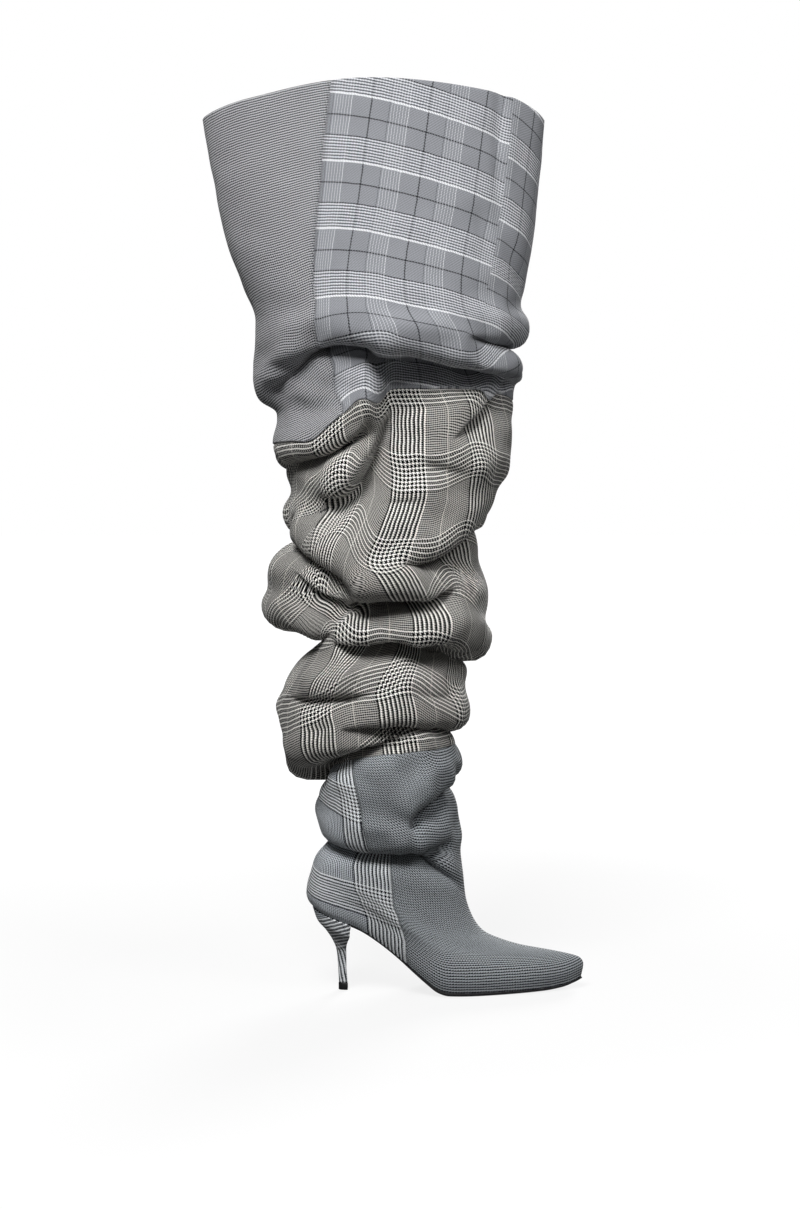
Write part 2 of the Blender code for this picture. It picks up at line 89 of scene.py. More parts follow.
# %% Lamps
KEY_PLACE, KEY_SIZE, KEY_WATTS = (-0.48, -1.72, 2.30), 1.0, 72.0    # a broad soft box over the camera
SIDE_PLACE, SIDE_SIZE, SIDE_WATTS = (1.5, -1.3, 2.0), 0.9, 14.0     # a smaller one before the toe
BACK_PLACE, BACK_SOFT, BACK_LIGHT = (0.7, 2.0, 1.3), math.radians(22), 2.0  # for the side turned away
LIT_POINT = (0.0, 0.0, 0.42)


def add_lamp(name, kind, place, light):
    """A lamp that looks from its place at the middle of the boot. The camera does not see the lamp."""
    lamp = bpy.data.objects.new(name, bpy.data.lights.new(name, kind))
    lamp.data.energy = light
    away = np.array(place) - LIT_POINT
    away /= np.linalg.norm(away)
    lamp.location = place
    lamp.rotation_euler = (math.acos(away[2]), 0, math.atan2(away[0], -away[1]))
    lamp.visible_camera = False
    bpy.context.scene.collection.objects.link(lamp)
    return lamp.data


add_lamp("key", "AREA", KEY_PLACE, KEY_WATTS).size = KEY_SIZE
add_lamp("side", "AREA", SIDE_PLACE, SIDE_WATTS).size = SIDE_SIZE
add_lamp("back", "SUN", BACK_PLACE, BACK_LIGHT).angle = BACK_SOFT

# %% [markdown]
# ## Shader nodes
#
# The backdrop, the floor, the cloths and the leather are all trees of nodes. They could be wired one by
# one in the editor, but a short helper keeps them readable: each call adds a node, puts values or links
# on its inputs and gives what comes out.

# %% Node helper
SOCKET_KINDS = {"Place": "NodeSocketVector", "Colour": "NodeSocketColor"}
NUMBER = "NodeSocketFloat"              # the kind of any other socket
COLOUR_MIX_IN, COLOUR_MIX_OUT = (0, 6, 7), 2        # sockets of a colour mix: factor, first, second, result


class Net:
    """Short hand for a node tree: each call adds a node and gives what comes out."""

    def __init__(self, tree):
        self.tree = tree

    def fill(self, node, inputs):
        """Links into a node's inputs, or plain values on them."""
        for name, value in inputs.items():
            if isinstance(value, bpy.types.NodeSocket):
                self.tree.links.new(value, node.inputs[name])
            else:
                node.inputs[name].default_value = value

    def node(self, kind, inputs, **settings):
        """A new node of a kind, with its settings and its inputs."""
        node = self.tree.nodes.new(kind)
        for name, value in settings.items():
            setattr(node, name, value)
        self.fill(node, inputs)
        return node

    def math(self, operation, *values):
        """The output of a math node over values or links."""
        return self.node("ShaderNodeMath", dict(enumerate(values)), operation=operation).outputs[0]

    def mix(self, factor, first, second, blend="MIX"):
        """The second colour over the first, by a factor."""
        inputs = dict(zip(COLOUR_MIX_IN, (factor, first, second)))
        node = self.node("ShaderNodeMix", inputs, data_type="RGBA", blend_type=blend)
        return node.outputs[COLOUR_MIX_OUT]

    def noise(self, place, look):
        """The value of a cloudy noise at a place. Its look is a scale, a detail and a roughness."""
        return self.node("ShaderNodeTexNoise", {"Vector": place, **look}).outputs["Fac"]

    def group(self, tree, inputs):
        """The outputs of a node group."""
        return self.node("ShaderNodeGroup", inputs, node_tree=tree).outputs


def new_material(name):
    """A new material, its net and its shader."""
    material = bpy.data.materials.new(name)
    material.use_nodes = True
    return material, Net(material.node_tree), material.node_tree.nodes["Principled BSDF"]


def new_group(name, takes, gives):
    """A node group with named sockets: its net, its input node and its output node."""
    group = bpy.data.node_groups.new(name, "ShaderNodeTree")
    for sockets, way in ((takes, "INPUT"), (gives, "OUTPUT")):
        for socket in sockets:
            group.interface.new_socket(socket, in_out=way, socket_type=SOCKET_KINDS.get(socket, NUMBER))
    return Net(group), group.nodes.new("NodeGroupInput"), group.nodes.new("NodeGroupOutput")


print("sockets that are not numbers", list(SOCKET_KINDS))

# %% [markdown]
# The backdrop is white paper. If it really lit the boot that strongly, the cloth would look flat,
# so the world is white to the camera's own rays and nearly dark to the light that bounces.

# %% White backdrop
PAPER_WHITE = (1, 1, 1, 1)
SKY_LIGHT = 0.05            # what the room gives the boot
SKY_SEEN = 1.0              # what the camera sees of it


def seen_or_lit(net, seen, lit):
    """A value that is one number for the camera's own rays and another for the light that bounces."""
    camera_ray = net.node("ShaderNodeLightPath", {}).outputs["Is Camera Ray"]
    span = {"Value": camera_ray, "To Min": lit, "To Max": seen}
    return net.node("ShaderNodeMapRange", span).outputs["Result"]


world = bpy.data.worlds.new("studio")
world.use_nodes = True
sky = Net(world.node_tree)
sky_strength = seen_or_lit(sky, SKY_SEEN, SKY_LIGHT)
sky.fill(world.node_tree.nodes["Background"], {"Color": PAPER_WHITE, "Strength": sky_strength})
bpy.context.scene.world = world
print("backdrop seen as", SKY_SEEN, "lights as", SKY_LIGHT)

# %% [markdown]
# The floor is a pale table that runs into the backdrop with no line between them. A curved sheet
# would do that in a real studio. Here a flat plane glows a little, and its glow rises to the
# backdrop's white with the distance from the boot, so a soft shadow stays under the sole.

# %% Pale floor
FLOOR_HALF = 30.0
FLOOR_GREY = (0.12, 0.12, 0.12, 1)
FLOOR_ROUGH, FLOOR_GLOSS = 0.95, 0.1
FADE_FROM, FADE_TO = 0.3, 1.6           # metres from the boot over which the floor turns white
FLOOR_GLOW = 0.83                       # what the camera sees of the lit table by the boot
floor_mesh = bpy.data.meshes.new("floor")
floor_corners = [(-1, -1), (1, -1), (1, 1), (-1, 1)]
floor_mesh.from_pydata([(x * FLOOR_HALF, y * FLOOR_HALF, 0) for x, y in floor_corners], [], [(0, 1, 2, 3)])
floor = bpy.data.objects.new("floor", floor_mesh)
bpy.context.scene.collection.objects.link(floor)
floor_paint, floor_net, floor_shader = new_material("floor")
place = floor_net.node("ShaderNodeNewGeometry", {}).outputs["Position"]
distance = floor_net.node("ShaderNodeVectorMath", {0: place}, operation="LENGTH").outputs["Value"]
glow = floor_net.node("ShaderNodeMapRange", {
    "Value": distance, "From Min": FADE_FROM, "From Max": FADE_TO, "To Min": FLOOR_GLOW, "To Max": SKY_SEEN,
}).outputs["Result"]
floor_net.fill(floor_shader, {
    "Base Color": FLOOR_GREY, "Roughness": FLOOR_ROUGH, "Specular IOR Level": FLOOR_GLOSS,
    "Emission Color": PAPER_WHITE, "Emission Strength": seen_or_lit(floor_net, glow, 0.0),
})
floor_mesh.materials.append(floor_paint)
print("floor", 2 * FLOOR_HALF, "m wide, turns white from", FADE_FROM, "to", FADE_TO, "m")

# %% [markdown]
# ## Smooth lines through a few measures
#
# A shoemaker works from a few measures along the last and the leg. Curves through them could be
# Bezier handles, but those can swing past a measure. A monotone cubic never does, so a width that
# only grows in the table also only grows on the boot.

# %% Smooth rows


def smooth_rows(x, y, at):
    """Monotone cubic through the rows (x, y), read at any places: it never passes beyond its rows."""
    x = np.asarray(x, float)
    y = np.asarray(y, float)
    step = np.diff(x)
    rise = np.diff(y) / step
    slope = np.empty_like(y)
    slope[0], slope[-1] = rise[0], rise[-1]
    before, after = 2 * step[1:] + step[:-1], step[1:] + 2 * step[:-1]
    turning = rise[:-1] * rise[1:] <= 0
    safe = np.where(turning[:, None], 1.0, np.stack([rise[:-1], rise[1:]], 1))
    mean = (before + after) / (before / safe[:, 0] + after / safe[:, 1])
    slope[1:-1] = np.where(turning, 0.0, mean)
    at = np.clip(at, x[0], x[-1])
    i = np.clip(np.searchsorted(x, at, side="right") - 1, 0, len(step) - 1)
    t = (at - x[i]) / step[i]
    near = (1 + 2 * t) * (1 - t) ** 2 * y[i] + t * (1 - t) ** 2 * step[i] * slope[i]
    return near + t * t * (3 - 2 * t) * y[i + 1] + t * t * (t - 1) * step[i] * slope[i + 1]


def smooth_step(t):
    """A soft ramp: 0 up to 0, 1 from 1 on, and three squares less two cubes between."""
    t = np.clip(t, 0, 1)
    return t * t * (3 - 2 * t)


print("halfway between 0, 1 and 1:", smooth_rows([0, 1, 2], [0, 1, 1], np.array([0.5, 1.5])))

# %% [markdown]
# ## The sole's line
#
# Seen from the side, the sole falls from the heel seat through a steep arch to the ball, lies on
# the floor there, and lifts a little at the toe. It is one row of heights along the length, because
# the upper, the heel and the outsole all have to meet on it.

# %% Sole line
SOLE_THICK = 0.003
SOLE_LINE = np.array([
    # x       z
    (-0.080, 0.0735),
    (-0.070, 0.0690),
    (-0.055, 0.0625),
    (-0.037, 0.0560),
    (-0.028, 0.0520),
    (-0.013, 0.0424),
    (0.006, 0.0278),
    (0.018, 0.0178),
    (0.030, 0.0082),
    (0.038, 0.0024),
    (0.048, -0.0004),
    (0.108, -0.0015),
    (0.130, -0.0015),
    (0.146, -0.0004),
    (0.158, 0.0028),
    (0.172, 0.0086),
])


def sole_under(x):
    """Height of the sole's under face at x."""
    return smooth_rows(SOLE_LINE[:, 0], SOLE_LINE[:, 1], x)


def sole_top(x):
    """Height of the sole's upper face at x: the under face and one thickness."""
    return sole_under(x) + SOLE_THICK


print("heel seat", SOLE_LINE[0, 1], "m, toe spring", SOLE_LINE[-1, 1], "m")

# %% [markdown]
# ## Rings over the last
#
# The foot of the boot is pulled over a last, a wooden form. A subdivision cage could follow it, but
# its seams would drift. Instead eleven rings go from the sole's edge up to the ankle. Each has a
# back and a front point and five widths between them, as a last maker's gauges would be set.

# %% Last rows
BALL_WIDTH = 0.076
GAP = 0.0003
TOE_SWING = 0.006
WIDTH_COLUMNS = ("heel", "waist", "ball", "fore", "tip")
LAST_COLUMNS = ("back_x", "back_z", "front_x", "front_z", "level", *WIDTH_COLUMNS)
LAST_ROWS = np.array([
    # back_x  back_z  front_x front_z level heel  waist ball  fore  tip
    (-0.0690, 0.0720, 0.1640, 0.0098, 0.00, 0.55, 0.61, 0.92, 0.63, 0.22),
    (-0.0740, 0.0780, 0.1660, 0.0205, 0.10, 0.63, 0.69, 1.00, 0.68, 0.27),
    (-0.0755, 0.0840, 0.1630, 0.0265, 0.20, 0.66, 0.74, 1.01, 0.67, 0.27),
    (-0.0750, 0.0900, 0.1450, 0.0318, 0.30, 0.67, 0.78, 1.00, 0.65, 0.29),
    (-0.0740, 0.0950, 0.1165, 0.0366, 0.40, 0.67, 0.82, 1.00, 0.72, 0.34),
    (-0.0725, 0.1000, 0.0970, 0.0420, 0.50, 0.67, 0.84, 0.99, 0.77, 0.39),
    (-0.0710, 0.1050, 0.0800, 0.0495, 0.60, 0.67, 0.87, 0.99, 0.81, 0.43),
    (-0.0690, 0.1120, 0.0700, 0.0615, 0.75, 0.67, 0.90, 1.01, 0.84, 0.46),
    (-0.0660, 0.1190, 0.0640, 0.0780, 0.90, 0.66, 0.93, 1.05, 0.88, 0.49),
    (-0.0630, 0.1260, 0.0620, 0.0960, 1.00, 0.64, 0.96, 1.10, 0.93, 0.53),
    (-0.0610, 0.1320, 0.0590, 0.1120, 1.00, 0.60, 0.98, 1.13, 0.98, 0.58),
])
print("rings over the last", len(LAST_ROWS))

# %% Points over the last
TURN = 2 * math.pi
SWING_BALL, SWING_TOE = 0.045, 0.164    # places along the foot between which its middle line turns
SWING_MOST = 1.1                        # how much of that turn a toe beyond them takes


def bow(x):
    """How far the sole dips below the straight line between the ends of the upper's lower edge."""
    first = LAST_ROWS[0]
    share = (x - first[0]) / (first[2] - first[0])
    ends = sole_top(np.array([first[0], first[2]]))
    return sole_top(x) - (ends[0] + (ends[1] - ends[0]) * share)


def swing(x):
    """Sideways place of the foot's middle line: it turns to the inner side in front of the ball."""
    share = (x - SWING_BALL) / (SWING_TOE - SWING_BALL)
    return TOE_SWING * np.clip(share, 0, SWING_MOST) ** 2


def half_width(columns, angle):
    """Half width of a ring over the last, through its five stations, at an angle from its back point."""
    folded = np.abs(np.mod(angle + math.pi, TURN) - math.pi)
    shares = np.stack([np.zeros_like(columns[0]), *columns, np.zeros_like(columns[0])])
    stations = np.linspace(0, math.pi, len(shares))
    widths = np.empty_like(folded)
    for row in range(folded.shape[0]):
        widths[row] = smooth_rows(stations, shares[:, row, 0], folded[row])
    return widths * BALL_WIDTH / 2


def last_rings(angle, share):
    """Points over the last: share is 0 at the upper's lower edge and 1 at the ankle line."""
    rows = np.linspace(0, 1, len(LAST_ROWS))
    at = dict(zip(LAST_COLUMNS, (smooth_rows(rows, c, share) for c in LAST_ROWS.T)))
    along = (1 - np.cos(angle)) / 2
    x = at["back_x"] + (at["front_x"] - at["back_x"]) * along
    straight = at["back_z"] + (at["front_z"] - at["back_z"]) * along
    ends = bow(at["back_x"]) * (1 - along) + bow(at["front_x"]) * along
    z = straight + (1 - at["level"]) * (bow(x) - ends) + (1 - share) * GAP
    half = half_width([at[c] for c in WIDTH_COLUMNS], angle)
    y = swing(x) * (1 - share) - np.sign(np.sin(angle)) * half
    return np.stack([x, y, z], -1)


print("toe at", last_rings(np.full((1, 1), math.pi), np.zeros((1, 1)))[0, 0].round(4))

# %% [markdown]
# ## The shaft's outline
#
# Over its folds, the shaft has an uneven outline: each row gives a height, the back and the front of
# the leg there, and its depth from side to side. Near the top the tube is flattened, as cloth is
# that nothing fills, so its section goes from an oval to a pointed eye.

# %% Shaft rows
SHAFT_COLUMNS = ("z", "back", "front", "depth", "pinch")
SHAFT_ROWS = np.array([
    # z      back    front   depth  pinch
    (0.100, -0.0710, 0.0610, 0.0420, 1.00),
    (0.126, -0.0615, 0.0585, 0.0450, 1.00),
    (0.148, -0.0640, 0.0585, 0.0560, 1.00),
    (0.170, -0.0695, 0.0585, 0.0600, 1.00),
    (0.198, -0.0815, 0.0555, 0.0640, 1.00),
    (0.222, -0.0935, 0.0585, 0.0680, 1.00),
    (0.250, -0.1035, 0.0625, 0.0690, 1.00),
    (0.285, -0.1000, 0.0715, 0.0710, 1.00),
    (0.320, -0.0950, 0.0795, 0.0730, 1.00),
    (0.345, -0.1055, 0.0830, 0.0740, 1.00),
    (0.370, -0.1150, 0.0765, 0.0740, 1.00),
    (0.400, -0.0960, 0.0785, 0.0730, 1.00),
    (0.425, -0.0850, 0.0850, 0.0730, 1.00),
    (0.450, -0.0970, 0.1000, 0.0740, 1.00),
    (0.475, -0.1035, 0.1045, 0.0720, 1.00),
    (0.500, -0.1030, 0.1055, 0.0670, 1.00),
    (0.516, -0.1150, 0.1085, 0.0660, 1.00),
    (0.535, -0.1205, 0.1135, 0.0690, 1.00),
    (0.556, -0.1200, 0.1120, 0.0790, 1.00),
    (0.580, -0.1195, 0.1085, 0.0800, 1.00),
    (0.612, -0.1310, 0.1140, 0.0750, 1.08),
    (0.643, -0.1430, 0.1205, 0.0700, 1.15),
    (0.700, -0.1560, 0.1270, 0.0630, 1.28),
    (0.757, -0.1660, 0.1320, 0.0580, 1.40),
    (0.790, -0.1710, 0.1340, 0.0560, 1.45),
])


def shaft_outline(z):
    """Each column of the shaft's rows, read at a height, with the middle and half of its length there."""
    at = {name: smooth_rows(SHAFT_ROWS[:, 0], row, z) for name, row in zip(SHAFT_COLUMNS, SHAFT_ROWS.T)}
    at["middle"] = (at["front"] + at["back"]) / 2
    at["half"] = (at["front"] - at["back"]) / 2
    return at


def shaft_rings(angle, z):
    """Points of the shaft's outline over its folds, at an angle and a height."""
    at = shaft_outline(z)
    side = np.sign(np.sin(angle)) * np.abs(np.sin(angle)) ** at["pinch"]
    return np.stack([at["middle"] - at["half"] * np.cos(angle), -at["depth"] * side, z], -1)


print("shaft rows", len(SHAFT_ROWS), "from", SHAFT_ROWS[0, 0], "to", SHAFT_ROWS[-1, 0], "m")

# %% [markdown]
# Four lines run round the boot: where the last ends, the seam above the ankle, the seam at the knee
# and the top edge. None is level, because the cloth has slipped down, so each has a height at eight
# places round the leg.

# %% Lines round the boot
RoundLine = namedtuple(
    "RoundLine", "back back_outer outer front_outer front front_inner inner back_inner"
)
ANKLE_LINE = RoundLine(0.132, 0.129, 0.122, 0.115, 0.112, 0.115, 0.122, 0.129)
ANKLE_SEAM = RoundLine(0.186, 0.200, 0.210, 0.214, 0.216, 0.214, 0.206, 0.194)
KNEE_SEAM = RoundLine(0.475, 0.479, 0.521, 0.521, 0.514, 0.505, 0.492, 0.480)
TOP_EDGE = RoundLine(0.757, 0.769, 0.783, 0.774, 0.756, 0.774, 0.783, 0.769)


def round_line(line, angle):
    """Height of a line round the shaft at an angle: 0 at the back, a quarter turn at the outer side."""
    heights = np.array(line)
    places = np.arange(-2, len(heights) + 3)
    turns = np.mod(angle, TURN) / TURN * len(heights)
    return smooth_rows(places, heights[places % len(heights)], turns)


print("top edge from", min(TOP_EDGE), "to", max(TOP_EDGE), "m")

# %% [markdown]
# ## Folds placed one by one
#
# A fold in slack cloth is a trough with a rounded lip hanging over it. Each row gives the line of one
# trough by three points: its place from back to front, its height and its depth, all in millimetres.
# The last numbers say how far its bank reaches above and below, and over what length it fades out.
# A simulation would give other folds each time; these lie where the photograph has them. The inner
# side is hidden, so its folds are made up to meet the others at the outline.

# %% Main folds
MM = 0.001
FOLD_END = 22               # millimetres over which a trough fades out beyond its ends
Fold = namedtuple("Fold", "name side back middle front above below end", defaults=(FOLD_END,))
OUTER, INNER = "outer", "inner"
FOLDS = (
    Fold("roll_back", OUTER, (-110, 503, 2), (-100, 530, 12), (-78, 551, 16), 10, 20),
    Fold("knee_pocket", OUTER, (-84, 550, 16), (-46, 562, 28), (-12, 556, 26), 10, 13),
    Fold("knee_roll", OUTER, (-11, 554, 36), (45, 549, 36), (113, 526, 6), 10, 30, 8),
    Fold("knee_notch", OUTER, (60, 560, 0), (92, 566, 24), (114, 568, 40), 8, 11),
    Fold("facet_edge", OUTER, (-12, 500, 10), (-10, 525, 24), (-8, 550, 14), 5, 34, 10),
    Fold("seam_tuck", OUTER, (-102, 457, 6), (-49, 474, 24), (-12, 513, 8), 9, 14),
    Fold("calf_slant", OUTER, (-62, 426, 3), (-28, 458, 38), (-5, 524, 18), 7, 34),
    Fold("shin_slant", OUTER, (50, 470, 0), (74, 497, 18), (105, 526, 12), 8, 30),
    Fold("shin_pocket", OUTER, (17, 374, 10), (42, 386, 29), (80, 413, 14), 9, 17, 10),
    Fold("calf_drop", OUTER, (-98, 405, 44), (-58, 372, 28), (-36, 342, 24), 9, 14),
    Fold("calf_tongue", OUTER, (-94, 370, 4), (-72, 354, 15), (-44, 337, 16), 8, 18),
    Fold("calf_shelf", OUTER, (-44, 349, 28), (4, 348, 50), (58, 348, 0), 9, 22),
    Fold("ring_back", OUTER, (-103, 322, 56), (-84, 320, 46), (-58, 312, 8), 8, 32),
    Fold("shin_ring", OUTER, (-50, 304, 6), (5, 313, 44), (76, 298, 10), 8, 27),
    Fold("shin_notch", OUTER, (42, 297, 0), (64, 298, 26), (78, 298, 36), 7, 11),
    Fold("low_crease", OUTER, (-95, 256, 4), (-53, 259, 12), (6, 263, 0), 9, 14),
    Fold("low_pocket", OUTER, (-44, 230, 4), (4, 241, 27), (60, 235, 32), 8, 10),
    Fold("ankle_shelf", OUTER, (-90, 194, 42), (-30, 222, 32), (10, 227, 8), 8, 15),
    Fold("cuff_pocket", OUTER, (21, 153, 10), (36, 177, 28), (58, 190, 20), 8, 18, 10),
    Fold("cuff_edge", OUTER, (-66, 137, 10), (-3, 128, 20), (52, 132, 0), 9, 12),
    Fold("knee_roll_in", INNER, (-110, 505, 2), (10, 548, 26), (113, 529, 4), 11, 24),
    Fold("knee_notch_in", INNER, (66, 566, 0), (92, 567, 20), (114, 568, 40), 8, 11),
    Fold("seam_tuck_in", INNER, (-102, 457, 5), (-45, 446, 18), (20, 468, 0), 10, 18),
    Fold("shin_slant_in", INNER, (-10, 438, 0), (45, 456, 15), (105, 518, 6), 10, 18),
    Fold("shin_pocket_in", INNER, (-30, 416, 0), (30, 403, 18), (80, 399, 9), 10, 18),
    Fold("calf_drop_in", INNER, (-98, 405, 44), (-20, 374, 24), (42, 360, 0), 10, 20),
    Fold("calf_shelf_in", INNER, (-50, 336, 0), (5, 328, 20), (56, 322, 0), 10, 16),
    Fold("shin_ring_in", INNER, (-103, 322, 56), (-34, 313, 44), (76, 296, 10), 9, 30),
    Fold("shin_notch_in", INNER, (42, 297, 0), (64, 298, 24), (78, 298, 36), 7, 11),
    Fold("low_crease_in", INNER, (-72, 250, 0), (-20, 246, 14), (40, 252, 0), 10, 14),
    Fold("low_pocket_in", INNER, (-40, 210, 0), (14, 218, 16), (60, 235, 32), 9, 12),
    Fold("ankle_shelf_in", INNER, (-90, 194, 42), (-42, 199, 36), (30, 200, 0), 9, 14),
    Fold("cuff_pocket_in", INNER, (-20, 158, 0), (22, 170, 14), (58, 190, 20), 9, 14),
    Fold("cuff_edge_in", INNER, (-66, 136, 6), (0, 128, 13), (50, 131, 0), 11, 14),
)
print("main folds", len(FOLDS))

# %% [markdown]
# Between the main folds lie shallow creases: rays that run into a pocket, and a pressed pleat on the
# top's front. They are rows of the same kind, so they join the folds smoothly.

# %% Small creases
CREASES = (
    Fold("front_pleat", OUTER, (91.5, 772, 3), (90.5, 725, 4), (90, 680, 2), 5, 3),
    Fold("front_bend", OUTER, (90, 682, 1), (99, 640, 3), (111, 595, 0), 12, 8),
    Fold("facet_bend", OUTER, (73.5, 690, 0), (76, 655, 3), (80, 625, 0), 10, 6),
    Fold("shin_soft", OUTER, (20, 460, 0), (42, 452, 6), (66, 447, 2), 10, 14),
    Fold("calf_line", OUTER, (-10, 421, 1), (9, 424, 4), (30, 423, 0), 5, 10),
    Fold("calf_ray_a", OUTER, (-70, 415, 2), (-48, 424, 5), (-20, 446, 1), 7, 10),
    Fold("ring_ray_a", OUTER, (10, 316, 0), (32, 312, 5), (60, 318, 1), 7, 10),
    Fold("ring_ray_b", OUTER, (-80, 345, 0), (-65, 330, 5), (-45, 322, 1), 7, 10),
    Fold("low_ray_a", OUTER, (15, 266, 0), (35, 258, 6), (56, 256, 0), 8, 12),
    Fold("low_ray_b", OUTER, (-75, 222, 0), (-60, 232, 5), (-35, 240, 0), 8, 12),
    Fold("instep_drop", OUTER, (30, 122, 10), (46, 106, 9), (60, 84, 1), 7, 10),
    Fold("shin_ray_in", INNER, (0, 500, 0), (30, 488, 5), (70, 492, 1), 9, 12),
    Fold("calf_ray_in", INNER, (-70, 425, 1), (-40, 414, 6), (-10, 418, 0), 8, 12),
    Fold("ring_ray_in", INNER, (-60, 352, 0), (-30, 344, 6), (10, 346, 0), 8, 12),
    Fold("low_ray_in", INNER, (-50, 272, 0), (-20, 266, 5), (20, 270, 0), 8, 12),
)
print("small creases", len(CREASES))

# %% [markdown]
# A trough's path is a smooth curve through its three points. A point of the cloth then goes in by
# the trough's depth times a bell curve of its distance from that path. Above the path the bell is
# round, as a lip is, and below it is sharper, as a crease is. The lip also swells and hangs down.

# %% Trough paths
FOLD_REACH = 0.082          # radius on which lengths round the shaft are measured
FOLD_STEPS = 14


def fold_path(fold):
    """The trough's line, a parabola through its marks, as points of (length round, height, depth)."""
    marks = np.array([fold.back, fold.middle, fold.front]) * MM
    at = shaft_outline(marks[:, 1])
    turn = np.arcsin(np.clip((marks[:, 0] - at["middle"]) / at["half"], -1, 1))
    marks[:, 0] = FOLD_REACH * (math.pi / 2 + turn if fold.side == OUTER else 3 * math.pi / 2 - turn)
    t = np.linspace(0, 1, FOLD_STEPS + 1)[:, None]
    return marks[0] * (1 - t) * (1 - 2 * t) + marks[1] * 4 * t * (1 - t) + marks[2] * t * (2 * t - 1)


print("roll over the knee", fold_path(FOLDS[2]).round(3)[::7])

# %% Depth of the folds
LIP_SHARP = 0.62            # a fold's lip is tighter than in the solids, as thin cloth is
CREASE_SHARP = 1.3          # 2 is a round trough, 1 a sharp crease
LIP_DROOP = 0.55            # how far a fold hangs over its trough, as a share of the depth
LIP_DROOP_MOST = 0.016
LIP_SWELL = 0.21            # how far the cloth bulges above the lip, as a share of the depth
LIP_MIDDLE = 1.2            # where a lip hangs most, in widths of the lip above the trough's line
SWELL_WIDE = 2              # the bulge is so many times as wide
FOLD_JOIN = 4.0             # the power that joins troughs: the higher, the more the deepest rules


def beside_path(path, angle, z):
    """A point's place by a trough's line: how far above it, how far past its ends, and the depth there."""
    turn = TURN * FOLD_REACH
    nearest = np.full_like(z, np.inf)
    above = np.zeros_like(z)
    beyond = np.zeros_like(z)
    depth = np.zeros_like(z)
    for start, end in zip(path[:-1], path[1:]):
        run = end[:2] - start[:2]
        length = np.hypot(*run)
        off_round = np.mod(FOLD_REACH * angle - start[0] + turn / 2, turn) - turn / 2
        off_up = z - start[1]
        along = (off_round * run[0] + off_up * run[1]) / length
        across = (off_up * run[0] - off_round * run[1]) / length * np.sign(run[0])
        t = np.clip(along / length, 0, 1)
        past = along - t * length
        away = np.hypot(across, past)
        closer = away < nearest
        nearest = np.where(closer, away, nearest)
        above = np.where(closer, across, above)
        beyond = np.where(closer, past, beyond)
        depth = np.where(closer, start[2] + (end[2] - start[2]) * t, depth)
    return above, beyond, np.maximum(depth, 0)


def fold_depths(folds, angle, z, ease=1.0):
    """How far each point goes in for the troughs, and how far the lips above them hang down.

    Each falls off as a bell curve of the distance. Troughs join as the root of the sum of their powers.
    """
    depth_sum, droop_sum, swell_sum = np.zeros((3, *z.shape))
    for fold in folds:
        above, beyond, depth = beside_path(fold_path(fold), angle, z)
        depth = depth * np.exp(-((beyond / (fold.end * MM)) ** 2))
        lip = fold.above * MM * LIP_SHARP * ease
        trough = fold.below * MM * ease
        bank = np.where(above >= 0, (above / lip) ** 2, np.abs(above / trough) ** CREASE_SHARP)
        hang = np.minimum(depth * LIP_DROOP, LIP_DROOP_MOST)
        bulge = above / lip / SWELL_WIDE
        depth_sum += (depth * np.exp(-bank)) ** FOLD_JOIN
        droop_sum += (hang * np.exp(-((above / lip - LIP_MIDDLE) ** 2))) ** FOLD_JOIN
        swell_sum += (depth * LIP_SWELL * np.exp(-((bulge - LIP_MIDDLE) ** 2))) ** FOLD_JOIN
    depth, droop, swell = (total ** (1 / FOLD_JOIN) for total in (depth_sum, droop_sum, swell_sum))
    return depth - swell, droop


print("deepest trough", max(max(f.back[2], f.middle[2], f.front[2]) for f in FOLDS), "mm")

# %% [markdown]
# ## The cloth's outer face and its lining
#
# The whole boot is one surface of two parameters: the angle round the leg, and a level that goes up
# from the sole's edge to the top. It blends from the last to the shaft at the ankle, and the folds
# push it in. One surface keeps the three pieces fitting at their seams.

# %% Outer face
AT_LOWER_EDGE, AT_ANKLE, AT_ANKLE_SEAM, AT_KNEE_SEAM, AT_TOP_EDGE = range(5)    # levels of the surface
ANKLE_BLEND = 0.75          # level from which the shaft takes over from the last


def plain_surface(angle, level):
    """The boot without its folds, at angles round it and levels up it.

    Gives the points, their heights, how much the shaft has taken over from the last, and the way inwards.
    """
    lines = [round_line(line, angle) for line in (ANKLE_LINE, ANKLE_SEAM, KNEE_SEAM, TOP_EDGE)]
    foot = last_rings(angle, np.clip(level, AT_LOWER_EDGE, AT_ANKLE))
    z = np.where(level <= AT_ANKLE, foot[..., 2], lines[0])
    for start, (low, high) in enumerate(zip(lines, lines[1:]), AT_ANKLE):
        z = z + np.clip(level - start, 0, 1) * (high - low)
    blend = smooth_step((level - ANKLE_BLEND) / (AT_ANKLE - ANKLE_BLEND))
    point = foot * (1 - blend[..., None]) + shaft_rings(angle, z) * blend[..., None]
    at = shaft_outline(z)
    inward = np.stack([np.cos(angle) * at["depth"], np.sin(angle) * at["half"]], -1)
    inward /= np.linalg.norm(inward, axis=-1, keepdims=True)
    return point, z, blend, inward


def upper_surface(angle, level):
    """Outer face of the cloth: the plain boot, pushed in at the troughs and hanging down over them."""
    point, z, blend, inward = plain_surface(angle, level)
    depth, droop = fold_depths(FOLDS, angle, z)
    crease, lip = fold_depths(CREASES, angle, z)
    point[..., :2] += inward * ((depth + crease) * blend)[..., None]
    point[..., 2] -= (droop + lip) * blend
    return point


quarter = np.full((1, 1), TURN / 4)
print("outer side at the knee seam", upper_surface(quarter, np.full((1, 1), AT_KNEE_SEAM))[0, 0].round(4))

# %% [markdown]
# The lining is a second cloth that hangs inside. It could be an offset of the outer face, but then
# deep folds would cut through themselves, so it goes as far in as any lip that can hang there.

